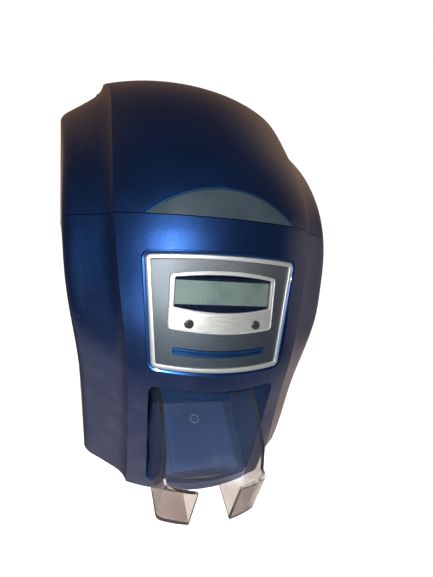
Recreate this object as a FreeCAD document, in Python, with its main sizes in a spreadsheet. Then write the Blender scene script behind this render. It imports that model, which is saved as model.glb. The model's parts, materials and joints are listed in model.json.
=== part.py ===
# Desktop card printer: a domed, hinged lid over a tapering casing, with a curved
# control panel, a card output tray in front and a card hopper behind.
# Millimetres. +Z is up, the front faces -Y, X = 0 is the plane of symmetry.
# The origin is the centre of the whole machine's footprint on the table.
import FreeCAD, Part
import os
import re
from math import atan2, cos, degrees, pi, radians, sin, sqrt, tan

Vector = FreeCAD.Vector
doc = FreeCAD.newDocument("card_printer")
sheet = doc.addObject("Spreadsheet::Sheet", "Sizes")

# Driving sizes. Every name is a cell of the sheet, in millimetres or degrees.
DRIVING = {
    # Overall
    "casing_length": 423.5, "casing_width": 206.0, "casing_height": 230.0, "tray_reach": 25.5,
    "foot_height": 3.0, "wall": 2.8, "fit_gap": 0.3, "seat_gap": 0.2, "overrun": 20.0,
    "heel_behind": 62.0, "heel_below": 40.0, "heel_near": 20.0,
    # Seam between casing and lid
    "seam_back": 69.5, "seam_rise": 179.6, "seam_tilt": 31.0, "seam_bend_back": 88.4,
    "seam_tilt_wing": 36.5, "seam_level": 148.0, "seam_gap": 0.6,
    # Lid hinge and rear deck
    "rear_cut_back": 305.5, "rear_cut_gap": 1.0, "deck_level": 176.0, "hinge_back": 294.0,
    "hinge_level": 187.0, "hinge_pin_radius": 3.0, "hinge_boss_radius": 6.5, "hinge_clearance": 0.05,
    "arm_inner": 56.0, "arm_thickness": 3.3, "arm_level": 181.0, "arm_front_back": 118.0,
    "bracket_gap": 0.7, "bracket_thickness": 2.5, "bracket_depth": 13.0,
    "lid_wall_level": 178.0, "pin_end": 0.6,
    # Badge on the lid
    "badge_half_width": 52.1, "badge_rise": 20.0, "badge_end_rise": 2.5, "badge_slope": 42.4,
    "badge_thickness": 1.2, "badge_sink": 0.5, "trim_width": 1.4, "trim_proud": 0.8,
    # Control panel, in its own tilted frame
    "panel_back": 37.15, "panel_level": 127.7, "panel_tilt": 27.07, "panel_radius": 130.0,
    "bezel_top_half": 51.5, "bezel_bottom_half": 44.0, "bezel_rise": 35.3, "bezel_top_arch": 2.5,
    "bezel_bottom_arch": 2.8, "bezel_corner": 3.0, "bezel_width": 3.0, "bezel_depth": 3.2, "moat": 2.3,
    "plate_sink": 1.0, "plate_depth": 2.9, "dish_sink": 0.4, "dish_floor": 3.4, "dish_depth": 5.4,
    "surround_top_half": 36.3, "surround_bottom_half": 35.9, "surround_top": 24.3, "surround_bottom": 10.0,
    "surround_top_arch": 3.7, "surround_bottom_arch": 2.7, "surround_corner": 2.0, "surround_sink": 0.2,
    "window_top_half": 33.3, "window_bottom_half": 33.2, "window_top": 22.8, "window_bottom": 3.9,
    "window_top_arch": 2.7, "window_bottom_arch": 3.0, "window_corner": 1.0, "window_sink": 1.6,
    "screen_half_width": 32.6, "screen_height": 15.6, "screen_mid": 12.7, "screen_depth": 9.5,
    "module_margin": 4.0, "module_thickness": 8.0, "board_thickness": 1.6,
    "button_offset": 22.8, "button_drop": 6.5, "button_radius": 2.9, "button_proud": 1.0,
    "button_length": 7.5, "button_flange": 1.0, "button_travel": 0.8, "button_gap": 0.1, "post_radius": 1.5,
    "slot_level": 104.3, "slot_half_width": 31.5, "slot_height": 3.6, "slot_wall": 1.0,
    "slot_sink": 1.9, "throat_length": 22.0,
    # Card opening, chute and tray
    "mouth_half_width": 44.2, "mouth_foot_half_width": 38.6, "mouth_sill": 8.0, "mouth_top": 80.0,
    "mouth_corner": 5.0, "mouth_depth": 46.0,
    "chute_half_width": 19.0, "chute_step_half_width": 30.5, "chute_step": 2.5, "chute_ring_shift": 3.2,
    "chute_front_back": 8.0, "chute_front_level": 10.5, "chute_length": 54.0,
    "chute_slope": 14.7, "chute_floor": 2.5, "chute_wall": 2.0, "chute_ledge": 2.0,
    "chute_ring_radius": 3.6, "chute_ring_width": 0.8, "chute_ring_back": 38.0, "chute_ring_depth": 0.5,
    "tray_half_width": 35.6, "tray_shift": 1.5, "tray_wall": 2.4, "tray_corner": 5.0, "tray_bow": 7.0,
    "tray_back": 58.0, "tray_floor": 2.0, "tray_prong_level": 34.5, "tray_bend_level": 47.0,
    "tray_wall_level": 63.0, "tray_gap_half": 14.2, "tray_lift": 0.5, "tray_seat_back": 20.0,
    "tray_rise_back": 27.0, "tray_bend_back": -4.5, "tray_knee_back": -12.0,
    # Chassis
    "plate_thickness": 2.5, "frame_inner": 50.0, "frame_thickness": 2.0, "frame_front_back": 88.0,
    "frame_step_back": 285.0, "frame_end_back": 400.0, "frame_level": 143.0, "frame_rear_level": 101.0,
    "tie_radius": 4.0, "tie_high": 79.0, "deck_plate_level": 140.5, "deck_plate_thickness": 2.5,
    "bay_half_width": 64.0, "bay_front_back": 84.0, "deck_front_back": 68.0, "foot_radius": 9.0,
    "foot_across": 42.0, "foot_inset": 40.0, "screw_inset": 26.0,
    "screw_radius": 3.0, "screw_low": 13.0, "tie_inset": 8.0, "tie_drop": 16.0, "tie_low": 50.5,
    # Card path
    "path_level": 104.3, "card_gap": 0.9, "shaft_radius": 4.0, "shaft_clearance": 0.05, "bush_wall": 1.0,
    "shaft_end": 9.0, "sleeve_gap": 3.0, "feed_radius": 9.0, "platen_radius": 9.0,
    "pick_radius": 8.5, "pinch_radius": 4.0, "pinch_shaft_radius": 2.0, "cleaning_radius": 8.0,
    "pick_half_width": 18.0, "pick_proud": 0.3,
    "feed_front_back": 95.0, "platen_back": 160.0, "feed_rear_back": 225.0, "cleaning_back": 262.0,
    "pick_back": 345.0, "gear_width": 5.0, "gear_offset": 1.5, "feed_gear_radius": 13.85,
    "idler_radius": 18.35, "pinion_radius": 9.85, "gear_gap": 0.3, "tooth_depth": 0.9,
    "motor_size": 28.0, "motor_length": 30.0, "motor_corner": 3.0, "motor_shaft_radius": 2.5,
    # Print head and ribbon
    "head_half_width": 36.0, "head_length": 16.0, "head_height": 24.0, "head_pivot_rise": 30.0,
    "head_pivot_radius": 2.0, "head_plate": 3.0, "head_carrier_length": 24.0, "head_bevel": 4.0,
    "fin_width": 1.5, "fin_pitch": 4.5, "fin_depth": 8.0,
    "spool_radius": 16.0, "core_radius": 9.0, "spool_half_width": 33.0, "spool_flange_radius": 17.0,
    "spool_flange": 2.0, "spool_level": 137.0, "takeup_back": 114.0, "supply_back": 203.0,
    "spool_axle_radius": 4.0,
    # Hopper
    "hopper_half_width": 27.6, "hopper_length": 87.0, "hopper_front_back": 318.0, "hopper_wall": 2.0,
    "hopper_floor": 3.0, "hopper_rim": 1.0, "weight_height": 6.0, "weight_gap": 1.0,
    "weight_corner": 3.0, "weight_knob": 10.0, "weight_knob_radius": 7.0, "weight_neck_radius": 3.5,
    "weight_cap": 3.3,
    "cover_margin": 5.0, "cover_thickness": 2.5, "cover_gap": 0.4, "cover_pin_radius": 1.5,
    "cover_knuckle_radius": 3.0, "cover_knuckle_half": 12.0, "cover_corner": 2.5, "cover_ear_width": 6.0,
    # Electrics
    "supply_box_length": 70.0, "supply_box_height": 42.0, "supply_box_back": 235.0, "supply_box_half": 42.0,
    "board_back": 110.0, "board_length": 140.0, "board_level": 20.0, "board_height": 85.0,
    "board_offset": 6.0, "board_post_inset": 6.0, "chip_size": 21.25, "chip_height": 1.6,
    "inlet_across": -58.0, "inlet_level": 30.0, "inlet_width": 28.0, "inlet_height": 20.0,
    "inlet_depth": 22.0, "inlet_flange": 2.0, "inlet_pin": 2.0, "inlet_pin_pitch": 7.0,
    "rocker_across": -28.0, "rocker_width": 13.0, "rocker_height": 19.0, "rocker_depth": 12.0,
    "rocker_tilt": 8.0, "rocker_wall": 1.5, "rocker_gap": 0.4, "rocker_pin_radius": 1.2,
    "usb_across": 2.0, "usb_size": 12.0, "usb_depth": 16.0, "usb_hole": 8.4,
    "network_across": 28.0, "network_width": 16.0, "network_height": 13.5, "network_depth": 18.0,
    "fan_across": 58.0, "fan_level": 70.0, "fan_size": 40.0, "fan_depth": 12.0, "fan_hub_radius": 10.0,
    "fan_blade_radius": 17.5, "fan_wall": 1.5, "fan_corner": 3.0, "fan_pin_radius": 1.25,
    "fan_blade_depth": 4.5, "fan_blade_turn": 29.4,
    "vent_radius": 1.8, "vent_pitch": 5.6, "port_wall": 1.5,
}
for row, (name, value) in enumerate(DRIVING.items(), start=1):
    sheet.set(f"A{row}", name)
    sheet.set(f"B{row}", str(value))
    sheet.setAlias(f"B{row}", name)
doc.recompute()


def size(name):
    """A driving size, read from the sheet."""
    return float(sheet.get(name))


# Places that follow from the driving sizes
front = (size("tray_reach") - size("casing_length")) / 2
rear = front + size("casing_length")
foot = size("foot_height")
half = size("casing_width") / 2
wall = size("wall")
gap = size("fit_gap")
over = size("overrun")
FRONT = "(tray_reach - casing_length) / 2"
REAR = "(tray_reach + casing_length) / 2"


def back(name):
    """The Y of a place given by its distance behind the casing's front."""
    return front + size(name)


def level(name):
    """The Z of a place given by its height above the casing's underside."""
    return foot + size(name)


# Sub-parts are collected here by their node names
parts = {}


def keep(name, item):
    """Name a finished sub-part."""
    item.Label = name
    parts[name] = item
    return item


def solid(name, shape):
    """A sub-part whose shape follows the sheet through the functions below."""
    item = doc.addObject("Part::Feature", name)
    item.Shape = shape
    return keep(name, item)


def bind(item, **formulas):
    """Bind properties to formulas whose words are cells of the sheet."""
    for path, formula in formulas.items():
        words = re.sub(r"[a-z][a-z_]+", lambda found: "Sizes." + found.group(), formula)
        item.setExpression(path.replace("__", "."), words)


def place(item, across, along, up, rotation=None):
    """Put an object at a place given by three formulas."""
    if rotation:
        item.Placement = FreeCAD.Placement(Vector(), rotation)
    bind(item, Placement__Base__x=across, Placement__Base__y=along, Placement__Base__z=up)
    return item


def block(name, length, width, height, across, along, up):
    """A box with its lowest corner at a place; all six are formulas."""
    item = doc.addObject("Part::Box", name)
    bind(item, Length=length, Width=width, Height=height)
    return place(item, across, along, up)


SIDEWAYS = FreeCAD.Rotation(Vector(0, 1, 0), 90)
BACKWARDS = FreeCAD.Rotation(Vector(1, 0, 0), -90)


def rod(name, radius, height, across, along, up, rotation=SIDEWAYS):
    """A cylinder that runs along X, or as its rotation says, from a place."""
    item = doc.addObject("Part::Cylinder", name)
    bind(item, Radius=radius, Height=height)
    return place(item, across, along, up, rotation)


def cut(name, base, *tools):
    """A base with tools taken away."""
    for number, tool in enumerate(tools, start=1):
        item = doc.addObject("Part::Cut", f"{name}_{number}")
        item.Base = base
        item.Tool = tool
        base = item
    return base


def joined(name, items):
    """Several objects joined into one shape."""
    item = doc.addObject("Part::MultiFuse", name)
    item.Shapes = items
    return item


def group(name, items):
    """Several separate solids kept in one node."""
    item = doc.addObject("Part::Compound", name)
    item.Links = items
    return item


def slab(x0, x1, y0, y1, z0, z1):
    """A plain box shape between two corners."""
    return Part.makeBox(x1 - x0, y1 - y0, z1 - z0, Vector(x0, y0, z0))


ACROSS = Vector(1, 0, 0)
BEHIND = Vector(0, 1, 0)
UPWARD = Vector(0, 0, 1)


def bar(radius, x0, x1, y, z):
    """A round bar shape along X between two places."""
    return Part.makeCylinder(radius, x1 - x0, Vector(x0, y, z), ACROSS)


def peg(radius, x, y0, y1, z):
    """A round peg shape along Y between two places."""
    return Part.makeCylinder(radius, y1 - y0, Vector(x, y0, z), BEHIND)


def on_side(side, near, away):
    """The two X places that lie near and away from the middle on one side, in rising order."""
    return sorted((side * near, side * away))


# How nearly parallel an edge is to a direction that it is said to run along
PARALLEL_SHARE = 0.99


def rounded(shape, direction, radius):
    """A shape with its edges along a direction rounded."""
    chosen = [edge for edge in shape.Edges
              if abs(edge.tangentAt(edge.FirstParameter).dot(direction)) > PARALLEL_SHARE]
    return shape.makeFillet(radius, chosen)


def prism(outline, x0, x1):
    """A side outline of (y, z) places, carried across from x0 to x1."""
    places = [Vector(x0, y, z) for y, z in outline]
    return Part.Face(Part.makePolygon(places + places[:1])).extrude(Vector(x1 - x0, 0, 0))


# Outer form
# The casing and lid are one smooth form. It is lofted through sections that fan out from a line
# behind and below the machine. Each row of shares is a station on the centre line, going from
# under the front up over the lid to the rear: place along the length, place up the height, half
# width of the raised crown, sag of the crown's arc, half width of the wings, drop of the wings
# below the crown's edge, and half width at the heel. Widths are shares of half the casing's
# width; sag and drop are shares of its height.
STATION_SHARES = (
    (-0.006, -0.085, 0.488, 0.052, 0.735, 0.132, 0.78),
    (0.000, 0.000, 0.490, 0.053, 0.750, 0.137, 0.80),
    (0.008, 0.130, 0.508, 0.054, 0.775, 0.145, 0.82),
    (0.028, 0.260, 0.530, 0.057, 0.805, 0.140, 0.84),
    (0.047, 0.405, 0.563, 0.063, 0.855, 0.130, 0.86),
    (0.070, 0.510, 0.598, 0.071, 0.905, 0.120, 0.88),
    (0.102, 0.600, 0.632, 0.078, 0.943, 0.114, 0.91),
    (0.130, 0.690, 0.658, 0.087, 0.965, 0.113, 0.93),
    (0.164, 0.781, 0.678, 0.098, 0.977, 0.118, 0.94),
    (0.200, 0.842, 0.683, 0.104, 0.979, 0.122, 0.94),
    (0.250, 0.898, 0.682, 0.108, 0.980, 0.132, 0.94),
    (0.310, 0.942, 0.676, 0.110, 0.984, 0.150, 0.94),
    (0.373, 0.976, 0.667, 0.104, 0.990, 0.190, 0.94),
    (0.457, 1.000, 0.655, 0.093, 1.000, 0.245, 0.94),
    (0.551, 0.992, 0.645, 0.082, 1.000, 0.270, 0.94),
    (0.667, 0.950, 0.640, 0.072, 0.995, 0.262, 0.94),
    (0.805, 0.880, 0.632, 0.064, 0.980, 0.230, 0.94),
    (0.952, 0.800, 0.625, 0.060, 0.950, 0.200, 0.94),
    (1.021, 0.760, 0.620, 0.058, 0.940, 0.190, 0.94),
)
# The wing's S-curve from the crown's edge: shares of the way out and of the drop
WING_SHARES = (
    (0.0, 0.0), (0.05, 0.15), (0.14, 0.28), (0.38, 0.48), (0.68, 0.70), (0.92, 0.89), (1.0, 1.12),
)
heel_y = rear + size("heel_behind")
heel_z = foot - size("heel_below")


def section(row, inset):
    """One closed section of the form, at a station and this far inside the outer skin."""
    along, up, crown, sag, wing, drop, heel = row
    y = front + along * size("casing_length")
    z = foot + up * size("casing_height")
    angle = atan2(z - heel_z, heel_y - y)
    reach = sqrt((z - heel_z) ** 2 + (heel_y - y) ** 2) - inset
    crown_half = crown * half - inset
    wing_half = wing * half - inset
    heel_half = heel * half - inset
    edge = reach - sag * size("casing_height")
    fall = drop * size("casing_height")

    def at(x, distance):
        return Vector(x, heel_y - distance * cos(angle), heel_z + distance * sin(angle))

    spread = wing_half - crown_half
    right = [at(crown_half + spread * out, edge - fall * down) for out, down in WING_SHARES]
    left = [Vector(-point.x, point.y, point.z) for point in right]
    right_curve = Part.BSplineCurve()
    right_curve.interpolate(right)
    left_curve = Part.BSplineCurve()
    left_curve.interpolate(left[::-1])
    near = size("heel_near")
    heel_right = at(heel_half, near)
    heel_left = at(-heel_half, near)
    return Part.Wire([
        Part.Arc(left[0], at(0, reach), right[0]).toShape(),
        right_curve.toShape(),
        Part.makeLine(right[-1], heel_right),
        Part.makeLine(heel_right, heel_left),
        Part.makeLine(heel_left, left[-1]),
        left_curve.toShape(),
    ])


forms = {}


def form(inset=0.0):
    """The solid inside the outer skin, set in by a distance and made once, before it is cut to its ends."""
    if inset not in forms:
        forms[inset] = Part.makeLoft([section(row, inset) for row in STATION_SHARES], True, False)
    return forms[inset]


outer_form = form()
inner_form = form(wall)
liner_form = form(wall + size("seat_gap"))

# Seam line, seen from the side
seam_first = (back("seam_back"), level("seam_rise"))
seam_second_y = back("seam_bend_back")
seam_second_z = seam_first[1] - (seam_second_y - seam_first[0]) * tan(radians(size("seam_tilt")))
seam_level = level("seam_level")
seam_third_y = seam_second_y + (seam_second_z - seam_level) / tan(radians(size("seam_tilt_wing")))
far = size("casing_height")
seam_start = (seam_first[0] - far, seam_first[1] + far * tan(radians(size("seam_tilt"))))
rear_cut = back("rear_cut_back")
deck_top = level("deck_level")


def seam_region(lift, end_y):
    """Everything above the seam, raised by a lift, back to end_y."""
    points = [seam_start, (seam_second_y, seam_second_z), (seam_third_y, seam_level), (end_y, seam_level)]
    raised = [(y, z + lift) for y, z in points]
    top = foot + far + far
    return prism(raised + [(end_y, top), (seam_start[0], top)], -half - over, half + over)


everywhere = slab(-half - over, half + over, front - far, rear, foot, foot + far + over)
outer_body = outer_form.common(everywhere)
inner_body = inner_form.common(slab(-half - over, half + over, front - far, rear - wall, -over, far + far))


# Control panel frame: mid, across (X), up along the face, and outward
tilt = radians(size("panel_tilt"))
panel_up = Vector(0, sin(tilt), cos(tilt))
panel_out = Vector(0, -cos(tilt), sin(tilt))
panel_mid = Vector(0, back("panel_back"), level("panel_level"))
panel_radius = size("panel_radius")
panel_reach = size("bezel_rise") + over


def on_panel(across, up, out=0.0):
    """A place in the panel's tilted frame."""
    return panel_mid + Vector(across, 0, 0) + panel_up * up + panel_out * out


def sag_at(across):
    """How far the panel's curved face has dropped away at a place across it."""
    return panel_radius - sqrt(panel_radius ** 2 - across ** 2)


def drum(sink):
    """The panel's curved face, sunk by a distance, as a solid cylinder."""
    foot_point = on_panel(0, -panel_reach, -panel_radius)
    return Part.makeCylinder(panel_radius - sink, panel_reach + panel_reach, foot_point, panel_up)


# Where a quarter round bulges, as a share of the way from its chord to its corner
ROUND_SHARE = 0.4142


def panel_outline(top_half, bottom_half, top, bottom, top_arch, bottom_arch, corner, out):
    """A four-sided outline with arched top and bottom and rounded corners, at a distance out."""
    corners = [on_panel(-top_half, top, out), on_panel(top_half, top, out),
               on_panel(bottom_half, -bottom, out), on_panel(-bottom_half, -bottom, out)]
    top_edge = Part.Arc(corners[0], on_panel(0, top + top_arch, out), corners[1])
    bottom_edge = Part.Arc(corners[2], on_panel(0, -bottom - bottom_arch, out), corners[3])

    def along_line(a, b, distance):
        return a + (b - a) * (distance / (b - a).Length)

    def along_arc(arc, distance, from_end):
        span = arc.LastParameter - arc.FirstParameter
        share = distance / arc.length()
        if from_end:
            return arc.value(arc.LastParameter - span * share)
        return arc.value(arc.FirstParameter + span * share)

    def trimmed(arc):
        middle = arc.value((arc.FirstParameter + arc.LastParameter) / 2)
        return Part.Arc(along_arc(arc, corner, False), middle, along_arc(arc, corner, True)).toShape()

    def rounding(a, vertex, b):
        chord_mid = (a + b) / 2
        bulge = chord_mid + (vertex - chord_mid) * ROUND_SHARE
        return Part.Arc(a, bulge, b).toShape()

    t_start, t_end = along_arc(top_edge, corner, False), along_arc(top_edge, corner, True)
    b_start, b_end = along_arc(bottom_edge, corner, False), along_arc(bottom_edge, corner, True)
    right_a = along_line(corners[1], corners[2], corner)
    right_b = along_line(corners[2], corners[1], corner)
    left_a = along_line(corners[3], corners[0], corner)
    left_b = along_line(corners[0], corners[3], corner)
    return Part.Wire([
        trimmed(top_edge), rounding(t_end, corners[1], right_a), Part.makeLine(right_a, right_b),
        rounding(right_b, corners[2], b_start), trimmed(bottom_edge), rounding(b_end, corners[3], left_a),
        Part.makeLine(left_a, left_b), rounding(left_b, corners[0], t_start),
    ])


def grown(kind, more):
    """The sizes of the bezel, surround or window outline, grown by a distance."""
    if kind == "bezel":
        top_half, bottom_half = size("bezel_top_half"), size("bezel_bottom_half")
        top, bottom = size("bezel_rise"), size("bezel_rise")
        arches = (size("bezel_top_arch"), size("bezel_bottom_arch"))
        corner = size("bezel_corner")
    elif kind == "surround":
        top_half, bottom_half = size("surround_top_half"), size("surround_bottom_half")
        top, bottom = size("surround_top"), size("surround_bottom")
        arches = (size("surround_top_arch"), size("surround_bottom_arch"))
        corner = size("surround_corner")
    else:
        top_half, bottom_half = size("window_top_half"), size("window_bottom_half")
        top, bottom = size("window_top"), -size("window_bottom")
        arches = (size("window_top_arch"), size("window_bottom_arch"))
        corner = size("window_corner")
    rounding = max(corner + more, corner / 2)
    return (top_half + more, bottom_half + more, top + more, bottom + more, *arches, rounding)


def panel_prism(kind, more, deep=None):
    """The outline of a panel piece, grown by a distance and carried inwards from above the face."""
    start = over
    depth = over + over if deep is None else over + deep
    return Part.Face(panel_outline(*grown(kind, more), start)).extrude(panel_out * -depth)


def panel_layer(kind, more, sink, depth):
    """A curved layer of an outline, from sink down to depth below the panel's face."""
    return panel_prism(kind, more).common(drum(sink)).cut(drum(depth))


def flat_prism(across, up, width, height, out_from, out_to):
    """A straight block in the panel's frame, centred across and up."""
    corners = [on_panel(across + a * width / 2, up + b * height / 2, out_from)
               for a, b in ((-1, -1), (1, -1), (1, 1), (-1, 1))]
    return Part.Face(Part.makePolygon(corners + corners[:1])).extrude(panel_out * (out_to - out_from))


def slot_cutter(grow, deep):
    """A level bar across the hand-feed slot, from in front of the panel to a depth behind it."""
    mid_z = level("slot_level")
    high = size("slot_height") / 2 + grow
    across = size("slot_half_width") + grow
    face_y = panel_mid.y
    return slab(-across, across, face_y - panel_reach, face_y + deep, mid_z - high, mid_z + high)


moat = size("moat")
seat = size("seat_gap")
dish_opening = panel_prism("bezel", moat + seat)


# Casing, lid and rear housing
def make_casing():
    """The lower shell: open above at the seam and below, with the panel and card openings."""
    shell = outer_body.cut(inner_body).cut(seam_region(0.0, rear + over))
    shell = shell.cut(dish_opening)
    mouth = mouth_cutter(0.0)
    shell = shell.cut(mouth)
    for cutter in rear_cutters():
        shell = shell.cut(cutter)
    return shell


def rounded_bar(x0, x1, z0, z1, corner, y0, y1):
    """A bar along Y with rounded corners."""
    return rounded(slab(x0, x1, y0, y1, z0, z1), BEHIND, corner)


def mouth_cutter(grow):
    """The card opening in the front, narrower at its foot and grown by a distance."""
    low, high = size("mouth_foot_half_width") + grow, size("mouth_half_width") + grow
    z0, z1 = level("mouth_sill") - grow, level("mouth_top") + grow
    places = [Vector(x, front - over, z) for x, z in ((-low, z0), (low, z0), (high, z1), (-high, z1))]
    depth = Vector(0, size("mouth_depth") + over, 0)
    tunnel = Part.Face(Part.makePolygon(places + places[:1])).extrude(depth)
    return rounded(tunnel, BEHIND, size("mouth_corner"))


def screw_places():
    """The four screws of the rear wall: across and up."""
    across = half - size("screw_inset")
    levels = (level("screw_low"), seam_level - size("screw_inset"))
    return [(side * across, up) for side in (-1, 1) for up in levels]


def rear_cutters():
    """Holes in the rear wall: inlet, switch, ports, screws and the fan's vents."""
    y0 = rear - wall - over
    y1 = rear + over
    inlet_z = level("inlet_level")

    def window(across, width, height, up):
        return slab(across - width / 2 - seat, across + width / 2 + seat, y0, y1,
                    up - height / 2 - seat, up + height / 2 + seat)

    holes = [
        window(size("inlet_across"), size("inlet_width"), size("inlet_height"), inlet_z),
        window(size("rocker_across"), size("rocker_width"), size("rocker_height"), inlet_z),
        window(size("usb_across"), size("usb_size"), size("usb_size"), inlet_z),
        window(size("network_across"), size("network_width"), size("network_height"), inlet_z),
    ]
    for across, up in screw_places():
        holes.append(peg(size("screw_radius") + size("shaft_clearance"), across, y0, y1, up))
    pitch = size("vent_pitch")
    reach = size("fan_blade_radius") - size("vent_radius")
    steps = int(reach // pitch)
    for column in range(-steps, steps + 1):
        for line in range(-steps, steps + 1):
            if (column * pitch) ** 2 + (line * pitch) ** 2 > reach ** 2:
                continue
            holes.append(peg(size("vent_radius"), size("fan_across") + column * pitch, y0, y1,
                             level("fan_level") + line * pitch))
    return holes


hinge_y = back("hinge_back")
hinge_z = level("hinge_level")
boss = size("hinge_boss_radius")
arm_inner = size("arm_inner")
arm_outer = arm_inner + size("arm_thickness")
bracket_inner = arm_outer + size("bracket_gap")
bracket_outer = bracket_inner + size("bracket_thickness")


def make_lid():
    """The domed shell above the seam, with a rear wall over the hinge and a relieved lower rear corner."""
    top_piece = outer_body.common(seam_region(size("seam_gap"), rear_cut))
    wall_front = rear_cut - wall
    behind = rear_cut + over
    wall_block = slab(-half - over, half + over, wall_front, behind, level("lid_wall_level"), far + far)
    hollow = inner_body.cut(wall_block)
    shell = top_piece.cut(hollow)
    notch_top = hinge_z + boss + wall
    for side in (-1, 1):
        x0, x1 = on_side(side, bracket_inner - size("bracket_gap"), bracket_outer + size("bracket_gap"))
        shell = shell.cut(slab(x0, x1, wall_front - wall, behind, foot, notch_top))
    swing = hinge_z - seam_level - size("seam_gap")
    corner = slab(-half - over, half + over, hinge_y, behind, foot, hinge_z)
    shell = shell.cut(corner.cut(bar(swing, -half - far, half + far, hinge_y, hinge_z)))
    return shell.cut(badge_layer(wall, badge_depth, trim_grow + seat))


cover_y0 = back("hopper_front_back") - size("hopper_wall") - size("cover_margin")
hopper_end = back("hopper_front_back") + size("hopper_length") + size("hopper_wall")
cover_pin_y = hopper_end + gap + size("cover_knuckle_radius")
cover_z = deck_top + size("hopper_rim") + size("cover_gap")
cover_pin_z = cover_z + size("cover_thickness")


def cover_ears():
    """The two ears moulded on the deck that carry the cover's pin."""
    ears = []
    radius = size("cover_knuckle_radius")
    inner = size("cover_knuckle_half") + gap
    pin = bar(size("cover_pin_radius"), -half, half, cover_pin_y, cover_pin_z)
    for side in (-1, 1):
        x0, x1 = on_side(side, inner, inner + size("cover_ear_width"))
        ear = slab(x0, x1, cover_pin_y - radius, cover_pin_y + radius, deck_top - wall / 2, cover_pin_z)
        ears.append(ear.fuse(bar(radius, x0, x1, cover_pin_y, cover_pin_z)).cut(pin))
    return ears


def make_rear_housing():
    """The rear cover around the hopper: bulkhead, flat deck, sides and back."""
    y0 = rear_cut + size("rear_cut_gap")
    z0 = seam_level + seat
    x0, x1 = -half - over, half + over
    block_outer = outer_body.common(slab(x0, x1, y0, rear + over, z0, deck_top))
    hollow = inner_body.common(slab(x0, x1, y0 + wall, rear + over, foot - over, deck_top - wall))
    shell = block_outer.cut(hollow)
    return shell.cut(hopper_box(size("hopper_wall") + gap, foot, deck_top + over)).fuse(cover_ears())


def hopper_box(grow, z0, z1):
    """The hopper's bore, grown by a distance, between two levels."""
    across = size("hopper_half_width") + grow
    y0 = back("hopper_front_back") - grow
    y1 = y0 + size("hopper_length") + grow + grow
    return slab(-across, across, y0, y1, z0, z1)


# Badge: a slim slate plate with a metal-blue rim, on the lid just above the seam
def badge_prism(grow):
    """The badge's low arched outline, grown by a distance and carried square through the lid's slope."""
    slope = radians(size("badge_slope"))
    up = Vector(0, cos(slope), sin(slope))
    out = Vector(0, -sin(slope), cos(slope))
    across = size("badge_half_width") + grow
    base = Vector(0, seam_first[0], seam_first[1]) - out * over
    ends = [base + Vector(side * across, 0, 0) + up * size("badge_end_rise") for side in (-1, 1)]
    lows = [end - up * over for end in ends]
    top = base + up * (size("badge_rise") + grow)
    wire = Part.Wire([
        Part.Arc(ends[0], top, ends[1]).toShape(),
        Part.makeLine(ends[1], lows[1]),
        Part.makeLine(lows[1], lows[0]),
        Part.makeLine(lows[0], ends[0]),
    ])
    return Part.Face(wire).extrude(out * (over + over))


def badge_layer(proud, depth, grow):
    """A layer of the lid's skin inside the badge's outline, from proud of it to a depth."""
    prism_piece = badge_prism(grow).common(seam_region(size("seam_gap"), rear_cut))
    return prism_piece.common(form(-proud)).cut(form(depth))


badge_depth = size("badge_thickness") - size("badge_sink")
trim_grow = size("trim_width")


solid("base_casing", make_casing())
solid("lid_shell", make_lid())
solid("rear_housing", make_rear_housing())
solid("lid_badge", badge_layer(size("badge_sink"), badge_depth, 0.0))
solid("badge_trim", badge_layer(size("trim_proud"), badge_depth, trim_grow).cut(badge_prism(seat)))


# Lid frame: two arms on the hinge, a cross plate and hangers for the print head
head_bottom = level("path_level") + size("card_gap")
head_pivot_z = head_bottom + size("head_pivot_rise")
platen_y = back("platen_back")
arm_level = level("arm_level")
head_half = size("head_half_width")
head_plate = size("head_plate")


def make_lid_frame():
    """The frame inside the lid, trimmed to the lid's inner skin."""
    arm_front = back("arm_front_back")
    carrier = size("head_carrier_length") / 2
    plate_top = arm_level + head_plate
    hanger_x = head_half + size("bracket_gap")
    pieces = []
    inside = liner_form.common(slab(-half, half, arm_front, hinge_y, arm_level, far + far))
    for side in (-1, 1):
        x0, x1 = on_side(side, arm_inner, arm_outer)
        arm = inside.common(slab(x0, x1, arm_front, hinge_y, arm_level, far + far))
        knuckle = bar(boss, x0, x1, hinge_y, hinge_z)
        h0, h1 = on_side(side, hanger_x, hanger_x + head_plate)
        hanger = slab(h0, h1, platen_y - boss, platen_y + boss, head_pivot_z, arm_level)
        pieces += [arm, knuckle, hanger, bar(boss, h0, h1, platen_y, head_pivot_z)]
    pieces.append(slab(-arm_outer, arm_outer, platen_y - carrier, platen_y + carrier, arm_level, plate_top))
    pieces.append(slab(-arm_outer, arm_outer, arm_front, arm_front + head_plate, arm_level, plate_top))
    frame = pieces[0].fuse(pieces[1:])
    frame = frame.cut(bar(size("hinge_pin_radius") + size("hinge_clearance"), -half, half, hinge_y, hinge_z))
    return frame.cut(bar(size("head_pivot_radius"), -half, half, platen_y, head_pivot_z))


solid("lid_frame", make_lid_frame())


def make_brackets():
    """Two posts that stand on the bulkhead's foot and carry the hinge pins."""
    posts = []
    foot_z = level("deck_plate_level") + size("deck_plate_thickness")
    housing_front = rear_cut + size("rear_cut_gap")
    for side in (-1, 1):
        x0, x1 = on_side(side, bracket_inner, bracket_outer)
        post = slab(x0, x1, hinge_y - boss, hinge_y + boss, foot_z, hinge_z)
        base = slab(x0, x1, hinge_y - boss, housing_front, foot_z, seam_level + size("bracket_depth"))
        top = bar(boss, x0, x1, hinge_y, hinge_z)
        hole = bar(size("hinge_pin_radius"), x0, x1, hinge_y, hinge_z)
        posts.append(post.fuse([base, top]).cut(hole))
    return Part.Compound(posts)


solid("hinge_brackets", make_brackets())

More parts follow.
